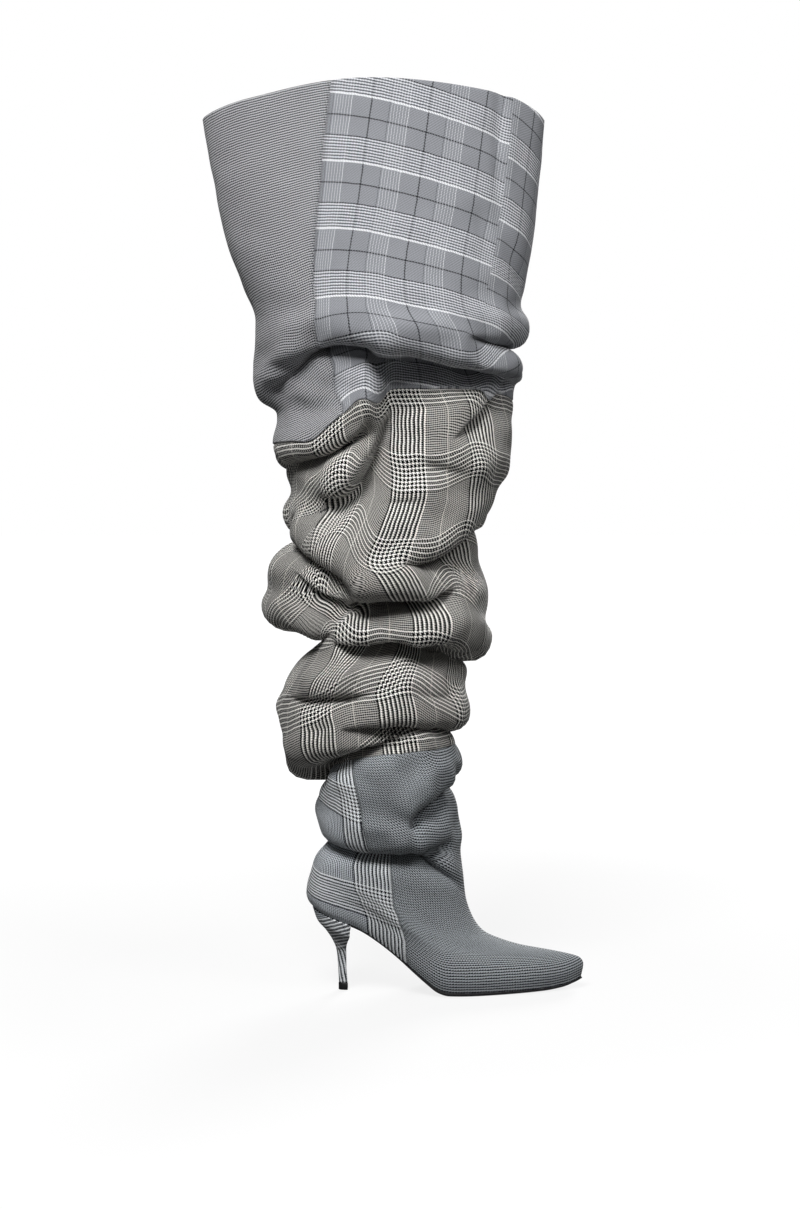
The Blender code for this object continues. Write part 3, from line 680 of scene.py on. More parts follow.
# %% Lining
WALL = 0.0018
LINING_EASE = 1.5           # the lining hangs straighter than the cloth, so its troughs are wider
LINING_SLACK = 0.0030
LINING_FALLS = 3            # heights above a point from which a lip can hang down to it


def lining_surface(angle, level):
    """Inner face away from the edges: as far in as any fold that can hang down to its height."""
    point, z, blend, inward = plain_surface(angle, level)
    depth = np.zeros_like(z)
    for fall in np.linspace(0, LIP_DROOP_MOST, LINING_FALLS):
        deep = [fold_depths(folds, angle, z + fall, LINING_EASE)[0] for folds in (FOLDS, CREASES)]
        depth = np.maximum(depth, sum(deep))
    point[..., :2] += inward * ((depth + WALL + LINING_SLACK) * blend)[..., None]
    return point


print("wall", WALL, "m, lining stands off by", LINING_SLACK)

# %% [markdown]
# Wool is stiff, so it rounds off its own creases, and it swells unevenly between its folds. A few
# passes of averaging do the first. A sum of random waves with a fixed seed does the second, so each
# run gives the same cloth.

# %% Stiffness and slack


def softened(points, passes):
    """Each point of a grid of rings drawn halfway to its neighbours, as stiff wool rounds its own folds."""
    for _ in range(passes):
        points = points / 2 + (np.roll(points, 1, 1) + np.roll(points, -1, 1)) / 4
        points[1:-1] = points[1:-1] / 2 + (points[:-2] + points[2:]) / 4
    return points


def grid_normals(points):
    """Unit normals of a grid of rings, from the steps round and up."""
    around = np.roll(points, -1, 1) - np.roll(points, 1, 1)
    up = np.gradient(points, axis=0)
    normal = np.cross(around, up)
    return normal / np.linalg.norm(normal, axis=-1, keepdims=True)


WAVES, WAVE_SEED = 40, 4
WAVE_SIZE = 0.0009          # how far slack cloth swells between its folds
WAVE_LENGTHS = (0.022, 0.075)


def slack_waves(angle, z):
    """Soft uneven swelling of slack cloth: a sum of random waves that close round the shaft."""
    random = np.random.default_rng(WAVE_SEED)
    total = np.zeros_like(z)
    for _ in range(WAVES):
        length = random.uniform(*WAVE_LENGTHS)
        slant = random.uniform(0, math.pi)
        turns = round(TURN * FOLD_REACH / length * math.cos(slant))
        rise = TURN / length * math.sin(slant)
        total += np.sin(turns * angle + rise * z + random.uniform(0, TURN))
    return total * WAVE_SIZE / math.sqrt(WAVES / 2)


print("slack swells by about", WAVE_SIZE, "m")

# %% [markdown]
# ## Hollow pieces of cloth
#
# A length of the boot is cut and closed as a tailor would: up the outer face, over a rounded edge,
# down the lining and back under the lower edge. A Solidify modifier could thicken a sheet, but it
# gives no lining of its own. Each mesh is filled from whole arrays.

# %% Mesh from a grid


def ring_faces(rows, around):
    """Four corners of each face of a grid that closes round and from its last row to its first."""
    i, j = np.meshgrid(np.arange(rows), np.arange(around), indexing="ij")
    below, right = (i + 1) % rows, (j + 1) % around
    return np.stack([i * around + j, i * around + right, below * around + right, below * around + j], -1)


def new_piece(name, points, faces, materials):
    """A smooth-shaded piece that rides on the boot's only body."""
    mesh = bpy.data.meshes.new(name)
    mesh.from_pydata(np.asarray(points).tolist(), [], faces)
    mesh.shade_smooth()
    for material in materials:
        mesh.materials.append(material)
    obj = bpy.data.objects.new(name, mesh)
    bpy.context.scene.collection.objects.link(obj)
    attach(obj, "root")
    return obj


print("corners of the first face in a grid of four", ring_faces(4, 5)[0, 0])

# %% [markdown]
# Upright seams follow a column of the grid, so a panel ends exactly on its seam, and a few columns
# stand close together there to carry the groove of the stitching.

# %% Columns and seams
AROUND = 250
SEAM_SIDES = (-0.030, -0.014, -0.006, 0.0, 0.006, 0.014, 0.030)   # columns beside a seam, in radians
SEAM_DEEP = 0.0008
SEAM_HALF = 0.0016


def columns_of(seams):
    """Angles of the grid's columns: even steps, with a few close together at each seam."""
    even = np.linspace(0, TURN, AROUND, endpoint=False)
    close = np.array([s + side for s in seams for side in SEAM_SIDES])
    clear = np.min(np.abs(even[:, None] - close[None, :]), axis=1) > math.pi / AROUND
    return np.sort(np.concatenate([even[clear], close]))


def tube_angles(seams, levels):
    """Grid angles of the columns, and each point's true angle and level: columns bend with the seams."""
    base = columns_of(list(seams))
    marks = [0.0, *sorted(seams), TURN]
    true = [np.zeros_like(levels), *(seams[s] for s in sorted(seams)), np.full_like(levels, TURN)]
    angle = np.stack([np.interp(base, marks, row) for row in np.transpose(true)])
    return base, angle, np.repeat(levels[:, None], len(base), 1)


def seam_grooves(seams, base, lengths):
    """How far each point lies in a seam: a bell curve of its length along the cloth from the seam."""
    groove = np.zeros_like(lengths[:, :-1])
    for seam in seams:
        column = int(np.argmin(np.abs(base - seam)))
        away = lengths[:, :-1] - lengths[:, column:column + 1]
        groove = np.maximum(groove, np.exp(-((away / SEAM_HALF) ** 2)))
    return groove


print("columns with one seam", len(columns_of([1.0])))

# %% Outer face of a piece
SOFT_PASSES = 2
SLACK_FROM, SLACK_RAMP = 1.05, 0.2      # levels over which the cloth turns slack above the ankle
TAUT_FROM, TAUT_RAMP, TAUT = 3.2, 0.25, 0.75    # the same for the pressed top, which has less of it
TUCK_RAMP = 0.012                       # share of a level over which a seam's inner layer goes back
Tuck = namedtuple("Tuck", "level depth")


def outer_face(angle, level, groove, tucked):
    """The folded cloth, rounded, swollen by its slack, sunk at its seams and where it is tucked in."""
    outer = softened(upper_surface(angle, level), SOFT_PASSES)
    slack = smooth_step((level - SLACK_FROM) / SLACK_RAMP)
    slack = slack * (1 - TAUT * smooth_step((level - TAUT_FROM) / TAUT_RAMP))
    swell = slack_waves(angle, outer[..., 2]) * slack - SEAM_DEEP * groove
    if tucked:
        swell = swell - tucked.depth * smooth_step((level - tucked.level) / TUCK_RAMP + 1)
    return outer + grid_normals(outer) * swell[..., None]


print("a piece is softened", SOFT_PASSES, "times")

# %% Wall of a piece
HEM = 0.006                             # cloth turned in at an edge
EDGE_STEPS = (30, 60, 90, 120, 150)     # degrees over a rounded edge
LOOSE_RAMP = 0.1                        # levels above the ankle over which the lining comes loose


def rounded_edge(ring, normal, up):
    """Half a turn over a raw edge, from the outer face to the lining."""
    turn = np.radians(EDGE_STEPS)[:, None, None]
    radius = WALL / 2
    return ring - normal * radius + radius * (np.cos(turn) * normal + np.sin(turn) * up)


def over_edge(rows):
    """Rows up a piece, with the last one repeated over its rounded top edge."""
    return np.concatenate([rows, np.repeat(rows[-1:], len(EDGE_STEPS), 0)])


def closed_wall(outer, angle, level):
    """Rows up the outer face, over the top edge, down the lining and under the lower edge.

    Also gives each outer row's length from the nearer edge. Near an edge and on the foot the inner face
    lies one wall inside the outer one, and elsewhere it is the loose lining.
    """
    normal = grid_normals(outer)
    up = np.gradient(outer, axis=0)
    up /= np.linalg.norm(up, axis=-1, keepdims=True)
    walked = np.append(0, np.cumsum(np.linalg.norm(np.diff(outer, axis=0), axis=-1).mean(1)))
    from_edge = np.minimum(walked, walked[-1] - walked)
    loose = smooth_step((from_edge - HEM) / HEM) * smooth_step((level[:, 0] - AT_ANKLE) / LOOSE_RAMP)
    loose = loose[:, None, None]
    inner = (outer - normal * WALL) * (1 - loose) + lining_surface(angle, level) * loose
    top_edge = rounded_edge(outer[-1], normal[-1], up[-1])
    low_edge = rounded_edge(outer[0], normal[0], -up[0])[::-1]
    return np.concatenate([outer, top_edge, inner[::-1], low_edge]), from_edge


print("rows over a raw edge", len(EDGE_STEPS))

# %% [markdown]
# ## The cloth's own threads
#
# A woven pattern has to follow the cloth into its folds. Unwrapping by hand would stretch it, so each
# corner of a face carries its place in the flat cloth: the length round the piece and the length up
# it, in metres. A panel starts from its own zero, and its check can lean, jump at a pleat, or stay
# plumb over the foot.

# %% Lengths of the flat cloth
EVEN_COLUMNS = 14
FROM_LOWER_EDGE, SHARED, FROM_TOP_EDGE = range(3)


def lengths_round(angle, level):
    """Length round the unfolded cloth from the back line: along it, and as seen from above."""
    ring = plain_surface(angle, level)[0]
    steps = np.diff(np.concatenate([ring, ring[:, :1]], 1), axis=1)
    start = np.zeros((len(ring), 1))
    along = np.linalg.norm(steps, axis=-1)
    above = np.linalg.norm(steps[..., :2], axis=-1)
    return [np.concatenate([start, np.cumsum(step, 1)], 1) for step in (along, above)]


def evened(values):
    """A grid averaged with its neighbours round it by a bell curve, as threads run smoothly over folds."""
    reach = np.arange(-EVEN_COLUMNS, EVEN_COLUMNS + 1)
    weights = np.exp(-((reach / EVEN_COLUMNS * 2) ** 2))
    return sum(w * np.roll(values, k, 1) for k, w in zip(reach, weights)) / weights.sum()


def wrapped(values):
    """A grid with its first column repeated at the end."""
    return np.concatenate([values, values[:, :1]], 1)


def flat_lengths(grid, levels, lengths, measured):
    """Lengths round and up the cloth, each in two ways: along the cloth, and plumb below the ankle line.

    Lengths up are measured from an edge, or shared out so that all threads have one length.
    """
    shown = len(levels) + len(EDGE_STEPS)
    lengths = [over_edge(length) for length in lengths]
    climb = np.linalg.norm(np.diff(grid[:shown], axis=0), axis=-1)
    climbed = evened(np.concatenate([np.zeros((1, climb.shape[1])), np.cumsum(climb, 0)]))
    if measured == SHARED:
        climbed = (climbed / climbed[-1] - 1) * climbed[-1].mean()
    if measured == FROM_TOP_EDGE:
        climbed = climbed - climbed[-1]
    ankle = np.argmin(np.abs(levels - AT_ANKLE))
    above = grid[ankle, :, 2] + climbed - climbed[ankle]
    plumb = np.where(np.arange(shown)[:, None] < ankle, grid[:shown, :, 2], above)
    return lengths, [wrapped(climbed), wrapped(plumb)]


print("threads are evened over", 2 * EVEN_COLUMNS + 1, "columns")

# %% Panels
OUTER_SIDE = math.radians(90)
EVEN = (0.0, 0.0)           # no shift, or no lean
# the seam line carries each seam's groove to the cloth material, which paints shade into the colour there
FLAT, PAINTED_GROOVE_SHADE = "cloth", "groove_painted_shade"  # what a mesh tells its material: flat places and grooves
Pleat = namedtuple("Pleat", "angle rise low high")
PANEL_FIELDS = "cloth start end zero shift skew pleat plumb"
Panel = namedtuple("Panel", PANEL_FIELDS, defaults=(EVEN, EVEN, None, False))


def columns_in(panel, middle):
    """Numbers of the grid's columns in a panel, from the angles of their middles."""
    inside = (middle >= panel.start) & (middle < panel.end)
    inside |= (middle - TURN >= panel.start) & (middle - TURN < panel.end)
    return np.where(inside)[0]


def flat_places(panel, mine, base, middle, lengths, heights, rows):
    """Place in the flat cloth of each corner of a panel's faces: metres round it and metres up it."""
    length, height = lengths[panel.plumb], heights[panel.plumb]
    shown = np.arange(rows - 1)
    zeros = np.broadcast_to(panel.zero, rows)
    zero = np.array([np.interp(at, base, row[:-1]) for at, row in zip(zeros, length)])[:, None]
    share = np.linspace(0, 1, rows)[:, None]
    wraps = middle[mine] >= panel.end
    lift = 0.0
    if panel.pleat:
        grown = smooth_step((share[:-1] - panel.pleat.low) / (panel.pleat.high - panel.pleat.low))
        lift = panel.pleat.rise * grown * (middle[mine] > panel.pleat.angle)
    corners = []
    for down, right in ((0, 0), (0, 1), (1, 1), (1, 0)):
        at = shown[:, None] + down, mine[None, :] + right
        u = length[at] - zero[shown + down] - length[shown + down, -1:] * wraps
        slope = panel.skew[0] + (panel.skew[1] - panel.skew[0]) * share[shown + down]
        corners.append(np.stack([u + panel.shift[0], height[at] + panel.shift[1] + slope * u + lift], -1))
    return np.stack(corners, 2)


def lay_flat(mesh, places):
    """Gives the corners of a mesh's faces their places in the flat cloth."""
    mesh.uv_layers.new(name=FLAT).data.foreach_set("uv", places.ravel().astype(np.float32))


print("a panel has", Panel._fields)

# %% One hollow length of cloth


def tube(name, levels, seams, panels, measured, tucked=None):
    """One hollow length of cloth, between two levels of the boot's surface.

    seams maps a grid angle to the true angles of an upright seam at the levels. Each panel goes from one
    grid angle to another. A tucked piece runs on under the next one above a seam.
    """
    base, angle, level = tube_angles(seams, levels)
    lengths = lengths_round(angle, level)
    groove = seam_grooves(seams, base, lengths[0])
    outer = outer_face(angle, level, groove, tucked)
    grid, from_edge = closed_wall(outer, angle, level)
    lengths, heights = flat_lengths(grid, levels, lengths, measured)
    rows, around = grid.shape[:2]
    edge = len(EDGE_STEPS)
    shown = len(outer) + edge
    hem = shown + np.where(from_edge[::-1] < HEM)[0]
    middle = (base + np.append(base[1:], base[0] + TURN)) / 2
    flat = np.zeros((rows, around, 4, 2))
    slots = np.full((rows, around), len(panels))
    for number, panel in enumerate(panels):
        mine = columns_in(panel, middle)
        slots[:shown - 1, mine] = number
        slots[-edge:, mine] = number
        slots[hem[:, None], mine] = number
        flat[:shown - 1, mine] = flat_places(panel, mine, base, middle, lengths, heights, shown)
    flat[-edge:] = flat[0]
    faces = ring_faces(rows, around).reshape(-1, 4).tolist()
    piece = new_piece(name, grid.reshape(-1, 3), faces, [*(panel.cloth for panel in panels), LINING])
    piece.data.polygons.foreach_set("material_index", slots.ravel().astype(np.int32))
    lay_flat(piece.data, flat)
    # each seam's groove, kept on the points so that the cloth's colour gets a painted shade along it
    groove_painted_shade = np.zeros((rows, around), np.float32)
    groove_painted_shade[:len(outer)] = groove
    grooves = piece.data.attributes.new(PAINTED_GROOVE_SHADE, "FLOAT", "POINT").data
    grooves.foreach_set("value", groove_painted_shade.ravel())
    print(name, "faces", rows * around)
    return piece

# %% [markdown]
# ## Woven wool
#
# They come from the order of dark and light yarns in a two-and-two twill. A texture of ready checks
# would blur at the folds, so the shader weaves yarn by yarn. What the cloths share is built once as
# node groups, with named inputs and outputs.
#
# The first group counts the warp and weft yarn at a place, with a slight wander as hand and loom leave
# it, and says how round each yarn stands there. The second says which of the two lies on top.

# %% Yarns and twill
WARP, WEFT = "Warp", "Weft"
YARN_FACTS = (WARP, WEFT, WARP + " round", WEFT + " round")
TWILL_REPEAT, TWILL_OVER = 4.0, 2
HALF_YARN = 0.5             # whole yarns are compared half a yarn apart, clear of rounding
YARN_WANDER = 0.0009        # metres that a yarn strays to either side, together
WANDER = {"Scale": 160.0, "Detail": 1.0}
NOISE_MIDDLE = (0.5, 0.5, 0.5)


def make_yarns():
    """Number of the warp and weft yarn at a place, and how round each stands there.

    A yarn stands up by one less the square of the way across it, which goes from -1 to 1.
    """
    net, takes, gives = new_group("yarns", ("Place", "Yarn"), YARN_FACTS)
    flat, vector = takes.outputs["Place"], "ShaderNodeVectorMath"
    noise = net.node("ShaderNodeTexNoise", {"Vector": flat, **WANDER}).outputs["Color"]
    off = net.node(vector, {0: noise, 1: NOISE_MIDDLE}, operation="SUBTRACT")
    wander = net.node(vector, {0: off.outputs[0], "Scale": YARN_WANDER}, operation="SCALE")
    place = net.node(vector, {0: flat, 1: wander.outputs[0]}, operation="ADD")
    parts = net.node("ShaderNodeSeparateXYZ", {0: place.outputs[0]})
    for axis, way in (("X", WARP), ("Y", WEFT)):
        count = net.math("DIVIDE", parts.outputs[axis], takes.outputs["Yarn"])
        across = net.math("MULTIPLY_ADD", net.math("FRACT", count), 2.0, -1.0)
        height = net.math("SUBTRACT", 1.0, net.math("MULTIPLY", across, across))
        net.fill(gives, {way: net.math("FLOOR", count), way + " round": height})
    return net.tree


def make_twill():
    """Which yarn lies on top. A lead of 1 lets the warp float over three yarns of four, -1 the weft."""
    net, takes, gives = new_group("twill", (*YARN_FACTS, "Lead"), ("Warp on top", "Height"))
    at = takes.outputs
    step = net.math("FLOORED_MODULO", net.math("ADD", at[WARP], at[WEFT]), TWILL_REPEAT)
    top = net.math("LESS_THAN", step, net.math("ADD", at["Lead"], TWILL_OVER - HALF_YARN))
    rise = net.math("SUBTRACT", at["Warp round"], at["Weft round"])
    height = net.math("MULTIPLY_ADD", rise, top, at["Weft round"])
    net.fill(gives, {"Warp on top": top, "Height": height})
    return net.tree


YARNS, TWILL = make_yarns(), make_twill()
print("groups", YARNS.name, TWILL.name)

# %% [markdown]
# The third group reads the order of dark and light yarns: a bold band of wide pairs, then a fine band
# of narrow ones. Where two bold bands cross, the twill draws the broken checks of a glen cloth. The
# fourth lays single lines over a ground, once or as a small row of them.

# %% Order of the yarns


def below(net, yarn, limit):
    """1 where the number of a yarn is below a limit, and 0 elsewhere."""
    return net.math("LESS_THAN", net.math("ADD", yarn, HALF_YARN), limit)


def make_order():
    """Whether a yarn is dark: the first share of each pair is, and pairs are wide in the bold band."""
    net, takes, gives = new_group(
        "yarn_order", ("Yarn", "Bold", "Fine", "Bold pair", "Fine pair", "Dark share"), ("Dark", "In bold"),
    )
    at = takes.outputs
    yarn = net.math("FLOORED_MODULO", at["Yarn"], net.math("ADD", at["Bold"], at["Fine"]))
    dark = []
    for pair, start in ((at["Bold pair"], 0.0), (at["Fine pair"], at["Bold"])):
        inside = net.math("FLOORED_MODULO", net.math("SUBTRACT", yarn, start), pair)
        dark.append(below(net, inside, net.math("MULTIPLY", pair, at["Dark share"])))
    bold = below(net, yarn, at["Bold"])
    in_either = net.math("MULTIPLY_ADD", net.math("SUBTRACT", *dark), bold, dark[1])
    net.fill(gives, {"Dark": in_either, "In bold": bold})
    return net.tree


def make_stripe():
    """Whether a yarn is in a single line: so many lines, a step apart and so wide, once in each repeat."""
    net, takes, gives = new_group("stripe", ("Yarn", "Repeat", "Start", "Wide", "Step", "Count"), ("Here",))
    at = takes.outputs
    yarn = net.math("FLOORED_MODULO", net.math("SUBTRACT", at["Yarn"], at["Start"]), at["Repeat"])
    inside = below(net, yarn, net.math("MULTIPLY", at["Step"], at["Count"]))
    line = below(net, net.math("FLOORED_MODULO", yarn, at["Step"]), at["Wide"])
    net.fill(gives, {"Here": net.math("MULTIPLY", inside, line)})
    return net.tree


ORDER, STRIPE = make_order(), make_stripe()
print("groups", ORDER.name, STRIPE.name)

# %% [markdown]
# Real wool is never one flat colour. The last group adds cloudy dye and stray fibres, and paints shade
# into the colour along a seam's groove.

# %% Wool finish and painted seam shade
DYE, DYE_SPREAD = {"Scale": 45.0, "Detail": 3.0}, 0.14
FIBRES, FIBRE_SPREAD = {"Scale": 1900.0, "Detail": 2.0, "Roughness": 0.7}, 0.5
# painted shade: the colour in a seam's groove is darkened by this share
SEAM_PAINTED_SHADE = 0.30           # how much darker the groove of a seam is


def varied(net, noise, middle, spread):
    """A value that a noise moves about its middle, over a spread."""
    return net.math("MULTIPLY_ADD", noise, spread, middle - spread / 2)


def make_wool_and_seam_shade():
    """Uneven dye, stray fibres and a painted shade in a seam's groove, laid over a woven colour."""
    net, takes, gives = new_group("wool_and_seam_shade", ("Colour", "Place"), ("Colour", "Fuzz"))
    place = takes.outputs["Place"]
    fuzz = net.noise(place, FIBRES)
    seam = net.node("ShaderNodeAttribute", {}, attribute_name=PAINTED_GROOVE_SHADE).outputs["Fac"]
    value = varied(net, net.noise(place, DYE), 1.0, DYE_SPREAD)
    value = net.math("MULTIPLY", value, varied(net, fuzz, 1.0, FIBRE_SPREAD))
    # painted shade: the colour is darkened along a seam's groove
    value = net.math("MULTIPLY", value, net.math("MULTIPLY_ADD", seam, -SEAM_PAINTED_SHADE, 1.0))
    shade = net.node("ShaderNodeCombineColor", {"Red": value, "Green": value, "Blue": value}).outputs[0]
    shaded = net.mix(1.0, takes.outputs["Colour"], shade, "MULTIPLY")
    net.fill(gives, {"Colour": shaded, "Fuzz": fuzz})
    return net.tree


WOOL_AND_SEAM_SHADE = make_wool_and_seam_shade()
print("group", WOOL_AND_SEAM_SHADE.name)

# %% [markdown]
# Each cloth is a row: the pitch of its yarns, its bands and pairs counted in yarns, its yarn colours,
# and any single lines laid over it. Counting in yarns keeps every pattern at a weaver's true scale.

# %% Yarn colours


def dyed(red, green, blue):
    """A colour as it looks on a screen, 0 to 255, as the reflectance of a yarn."""
    shares = np.array([red, green, blue]) / 255
    return (*(np.where(shares <= 0.04045, shares / 12.92, ((shares + 0.055) / 1.055) ** 2.4)), 1.0)


Stripe = namedtuple("Stripe", "way start wide step count colour")
Cloth = namedtuple(
    "Cloth",
    "name yarn lead weft_lead bold fine bold_pair warp_pair weft_pair dark_share "
    "light fine_light dark repeat stripes",
)
WHITE_LINE = dyed(244, 245, 248)
BLACK_LINE = dyed(38, 38, 42)
GREY_DARK, GREY_LIGHT, PALE_LINE = dyed(78, 80, 86), dyed(226, 228, 232), dyed(204, 206, 211)
A_LIGHT, A_DARK = dyed(196, 197, 200), dyed(38, 39, 42)
B_LIGHT, B_DARK = dyed(156, 158, 163), dyed(127, 129, 134)
D_LIGHT, D_DARK = dyed(182, 188, 192), dyed(9, 11, 18)
print("brightest line", [round(c, 2) for c in WHITE_LINE])

# %% Five cloths
CLOTHS = (
    Cloth("pick_grey", 0.00053, -1, 0, 0, 8, 8, 2, 4, 0.5, A_LIGHT, A_LIGHT, A_DARK, (8, 8), ()),
    Cloth(
        "line_check", 0.00062, 0, 0, 0, 8, 8, 2, 2, 0.5, B_LIGHT, B_LIGHT, B_DARK, (80, 92),
        (
            Stripe(WEFT, 0, 3, 3, 1, WHITE_LINE),
            Stripe(WEFT, 3, 2, 4, 8, GREY_DARK),
            Stripe(WEFT, 5, 2, 4, 8, GREY_LIGHT),
            Stripe(WEFT, 35, 2, 2, 1, BLACK_LINE),
            Stripe(WEFT, 63, 2, 2, 1, BLACK_LINE),
            Stripe(WARP, 0, 2, 2, 1, BLACK_LINE),
            Stripe(WARP, 26, 1, 1, 1, GREY_DARK),
            Stripe(WARP, 29, 1, 4, 6, PALE_LINE),
            Stripe(WARP, 53, 1, 1, 1, GREY_LIGHT),
        ),
    ),
    Cloth(
        "bold_glen", 0.00047, 0, 0, 72, 84, 8, 4, 4, 0.6,
        dyed(255, 253, 247), dyed(190, 188, 183), dyed(8, 8, 7), (156, 156),
        (Stripe(WARP, 112, 1, 1, 1, dyed(226, 223, 214)),),
    ),
    Cloth("small_tooth", 0.00060, -1, 0, 0, 8, 8, 2, 4, 0.5, D_LIGHT, D_LIGHT, D_DARK, (8, 8), ()),
    Cloth(
        "pale_glen", 0.00042, 0, 1, 80, 210, 8, 4, 4, 0.5,
        dyed(250, 253, 255), dyed(222, 228, 234), dyed(16, 19, 28), (290, 290),
        (Stripe(WARP, 165, 2, 2, 1, dyed(60, 64, 78)),),
    ),
)
print("cloths", [(cloth.name, cloth.yarn) for cloth in CLOTHS])

# %% Colour of the yarns one way
LINE_OVER = 0.45            # share of a single line's colour that shows over the crossing yarns too


def yarn_tones(net, cloth, way, yarn):
    """Colour of the yarns that run one way, whether they are in a bold band, and their single lines."""
    pair, repeat = (cloth.warp_pair, cloth.repeat[0]) if way == WARP else (cloth.weft_pair, cloth.repeat[1])
    order = net.group(ORDER, {
        "Yarn": yarn, "Bold": cloth.bold, "Fine": cloth.fine,
        "Bold pair": cloth.bold_pair, "Fine pair": pair, "Dark share": cloth.dark_share,
    })
    tone = net.mix(order["Dark"], net.mix(order["In bold"], cloth.fine_light, cloth.light), cloth.dark)
    lines = []
    for stripe in (stripe for stripe in cloth.stripes if stripe.way == way):
        here = net.group(STRIPE, {
            "Yarn": yarn, "Repeat": repeat, "Start": stripe.start,
            "Wide": stripe.wide, "Step": stripe.step, "Count": stripe.count,
        })["Here"]
        tone = net.mix(here, tone, stripe.colour)
        lines.append((net.math("MULTIPLY", here, LINE_OVER), stripe.colour))
    return tone, order["In bold"], lines


print("a single line shows over the crossing yarns by", LINE_OVER)

# %% Cloth materials
FUZZ_RELIEF = 0.5           # how high stray fibres stand beside a yarn
WEAVE_BUMP = {"Strength": 0.35, "Distance": 0.00018}
WOOL_GLOSS = {"Roughness": 0.88, "Specular IOR Level": 0.18, "Sheen Weight": 0.12, "Sheen Roughness": 0.5}


def make_cloth(cloth):
    """The material of a cloth, from its row: the yarn on top gives the colour, its height the relief."""
    material, net, shader = new_material(cloth.name)
    place = net.node("ShaderNodeUVMap", {}, uv_map=FLAT).outputs["UV"]
    yarns = net.group(YARNS, {"Place": place, "Yarn": cloth.yarn})
    warp_tone, warp_bold, warp_lines = yarn_tones(net, cloth, WARP, yarns[WARP])
    weft_tone, weft_bold, weft_lines = yarn_tones(net, cloth, WEFT, yarns[WEFT])
    both = net.math("MULTIPLY", warp_bold, weft_bold)
    lead = net.math("ADD", net.math("SUBTRACT", warp_bold, both), cloth.lead)
    weft_lead = net.math("MULTIPLY", net.math("SUBTRACT", weft_bold, both), cloth.weft_lead)
    floats = {name: yarns[name] for name in YARN_FACTS}
    twill = net.group(TWILL, {**floats, "Lead": net.math("SUBTRACT", lead, weft_lead)})
    woven = net.mix(twill["Warp on top"], weft_tone, warp_tone)
    for here, colour in warp_lines + weft_lines:
        woven = net.mix(here, woven, colour)
    wool_and_seam_shade = net.group(WOOL_AND_SEAM_SHADE, {"Colour": woven, "Place": place})
    relief = net.math("MULTIPLY_ADD", wool_and_seam_shade["Fuzz"], FUZZ_RELIEF, twill["Height"])
    bump = net.node("ShaderNodeBump", {"Height": relief, **WEAVE_BUMP})
    net.fill(shader, {"Base Color": wool_and_seam_shade["Colour"], "Normal": bump.outputs["Normal"], **WOOL_GLOSS})
    return material


cloths = {cloth.name: make_cloth(cloth) for cloth in CLOTHS}
print("cloth materials", list(cloths))

# %% [markdown]
# ## Leather, rubber and lining
#
# The sole is thin black leather, the heel's tip is black rubber, and the lining is a plain dark cloth
# that the photograph hides. They differ only in colour, gloss and the size of their grain, so one
# function makes all three: a cloudy colour, a pebbled bump and an uneven gloss.

# %% Smooth materials
MOTTLE = {"Scale": 60.0, "Detail": 4.0}
PEBBLE_BUMP = 0.4
GLOSS_SPREAD = 0.16         # how far the mottling moves the roughness
SMOOTH_SPECULAR = 0.35


def make_smooth(name, colour, roughness, grain_scale, grain_deep, mottle):
    """Leather, rubber or lining: a plain colour with mottling and a fine pebble grain."""
    material, net, shader = new_material(name)
    place = net.node("ShaderNodeTexCoord", {}).outputs["Object"]
    cloud = net.noise(place, MOTTLE)
    dull, bright = ((*(c * (1 + change) for c in colour), 1) for change in (-mottle, mottle))
    grain = net.node("ShaderNodeTexVoronoi", {"Vector": place, "Scale": grain_scale}).outputs["Distance"]
    pebbles = {"Height": grain, "Strength": PEBBLE_BUMP, "Distance": grain_deep}
    net.fill(shader, {
        "Base Color": net.mix(cloud, dull, bright),
        "Normal": net.node("ShaderNodeBump", pebbles).outputs["Normal"],
        "Roughness": varied(net, cloud, roughness, GLOSS_SPREAD),
        "Specular IOR Level": SMOOTH_SPECULAR,
    })
    return material


LINING = make_smooth("lining", (0.040, 0.039, 0.040), 0.75, 900.0, 0.00010, 0.25)
SOLE_LEATHER = make_smooth("sole_leather", (0.012, 0.012, 0.013), 0.42, 700.0, 0.00012, 0.35)
TOP_RUBBER = make_smooth("top_piece_rubber", (0.010, 0.010, 0.011), 0.50, 500.0, 0.00008, 0.30)
print("smooth materials", LINING.name, SOLE_LEATHER.name, TOP_RUBBER.name)

# %% [markdown]
# ## The upper
#
# The upper is two cloths closed over the last: a pale glen check round the heel and a small dark tooth
# over the foot, which meet on an upright seam beside the arch. Above the ankle the same two cloths slouch
# as a cuff. The seam is a row of angles, and the check dips forward on the heel as it does on the real one.

# %% Seams of the upper
COUNTER_SEAM = np.array([
    # level degrees
    (0.00, 72.0),
    (0.25, 74.5),
    (0.50, 84.0),
    (0.80, 90.0),
    (0.98, 90.0),
    (1.06, 85.0),
    (1.14, 72.0),
    (1.30, 69.0),
    (1.60, 68.0),
    (2.10, 68.0),
])
COUNTER_AT = math.radians(78)
COUNTER_SHIFT = (0.0336, -0.058)        # metres that bring the check's bold bands to their places
COUNTER_SLOPES = (0.36, -0.06)          # the check dips forward on the counter and lies level on the cuff
CUFF_TURN = math.radians(13)            # the slack cuff has turned forward over the counter
CUFF_FROM, CUFF_RAMP = 0.99, 0.07       # levels over which it does
ANKLE_TUCK, ANKLE_TUCK_DEEP = 2.025, 0.0030     # the upper runs on a little under the shaft
FOOT_ROWS, CUFF_ROWS = 84, 70


def seam_pair(at, rows, levels):
    """An upright seam on the outer side, and its like on the inner side."""
    angles = np.radians(smooth_rows(rows[:, 0], rows[:, 1], levels))
    return {at: angles, TURN - at: TURN - angles}


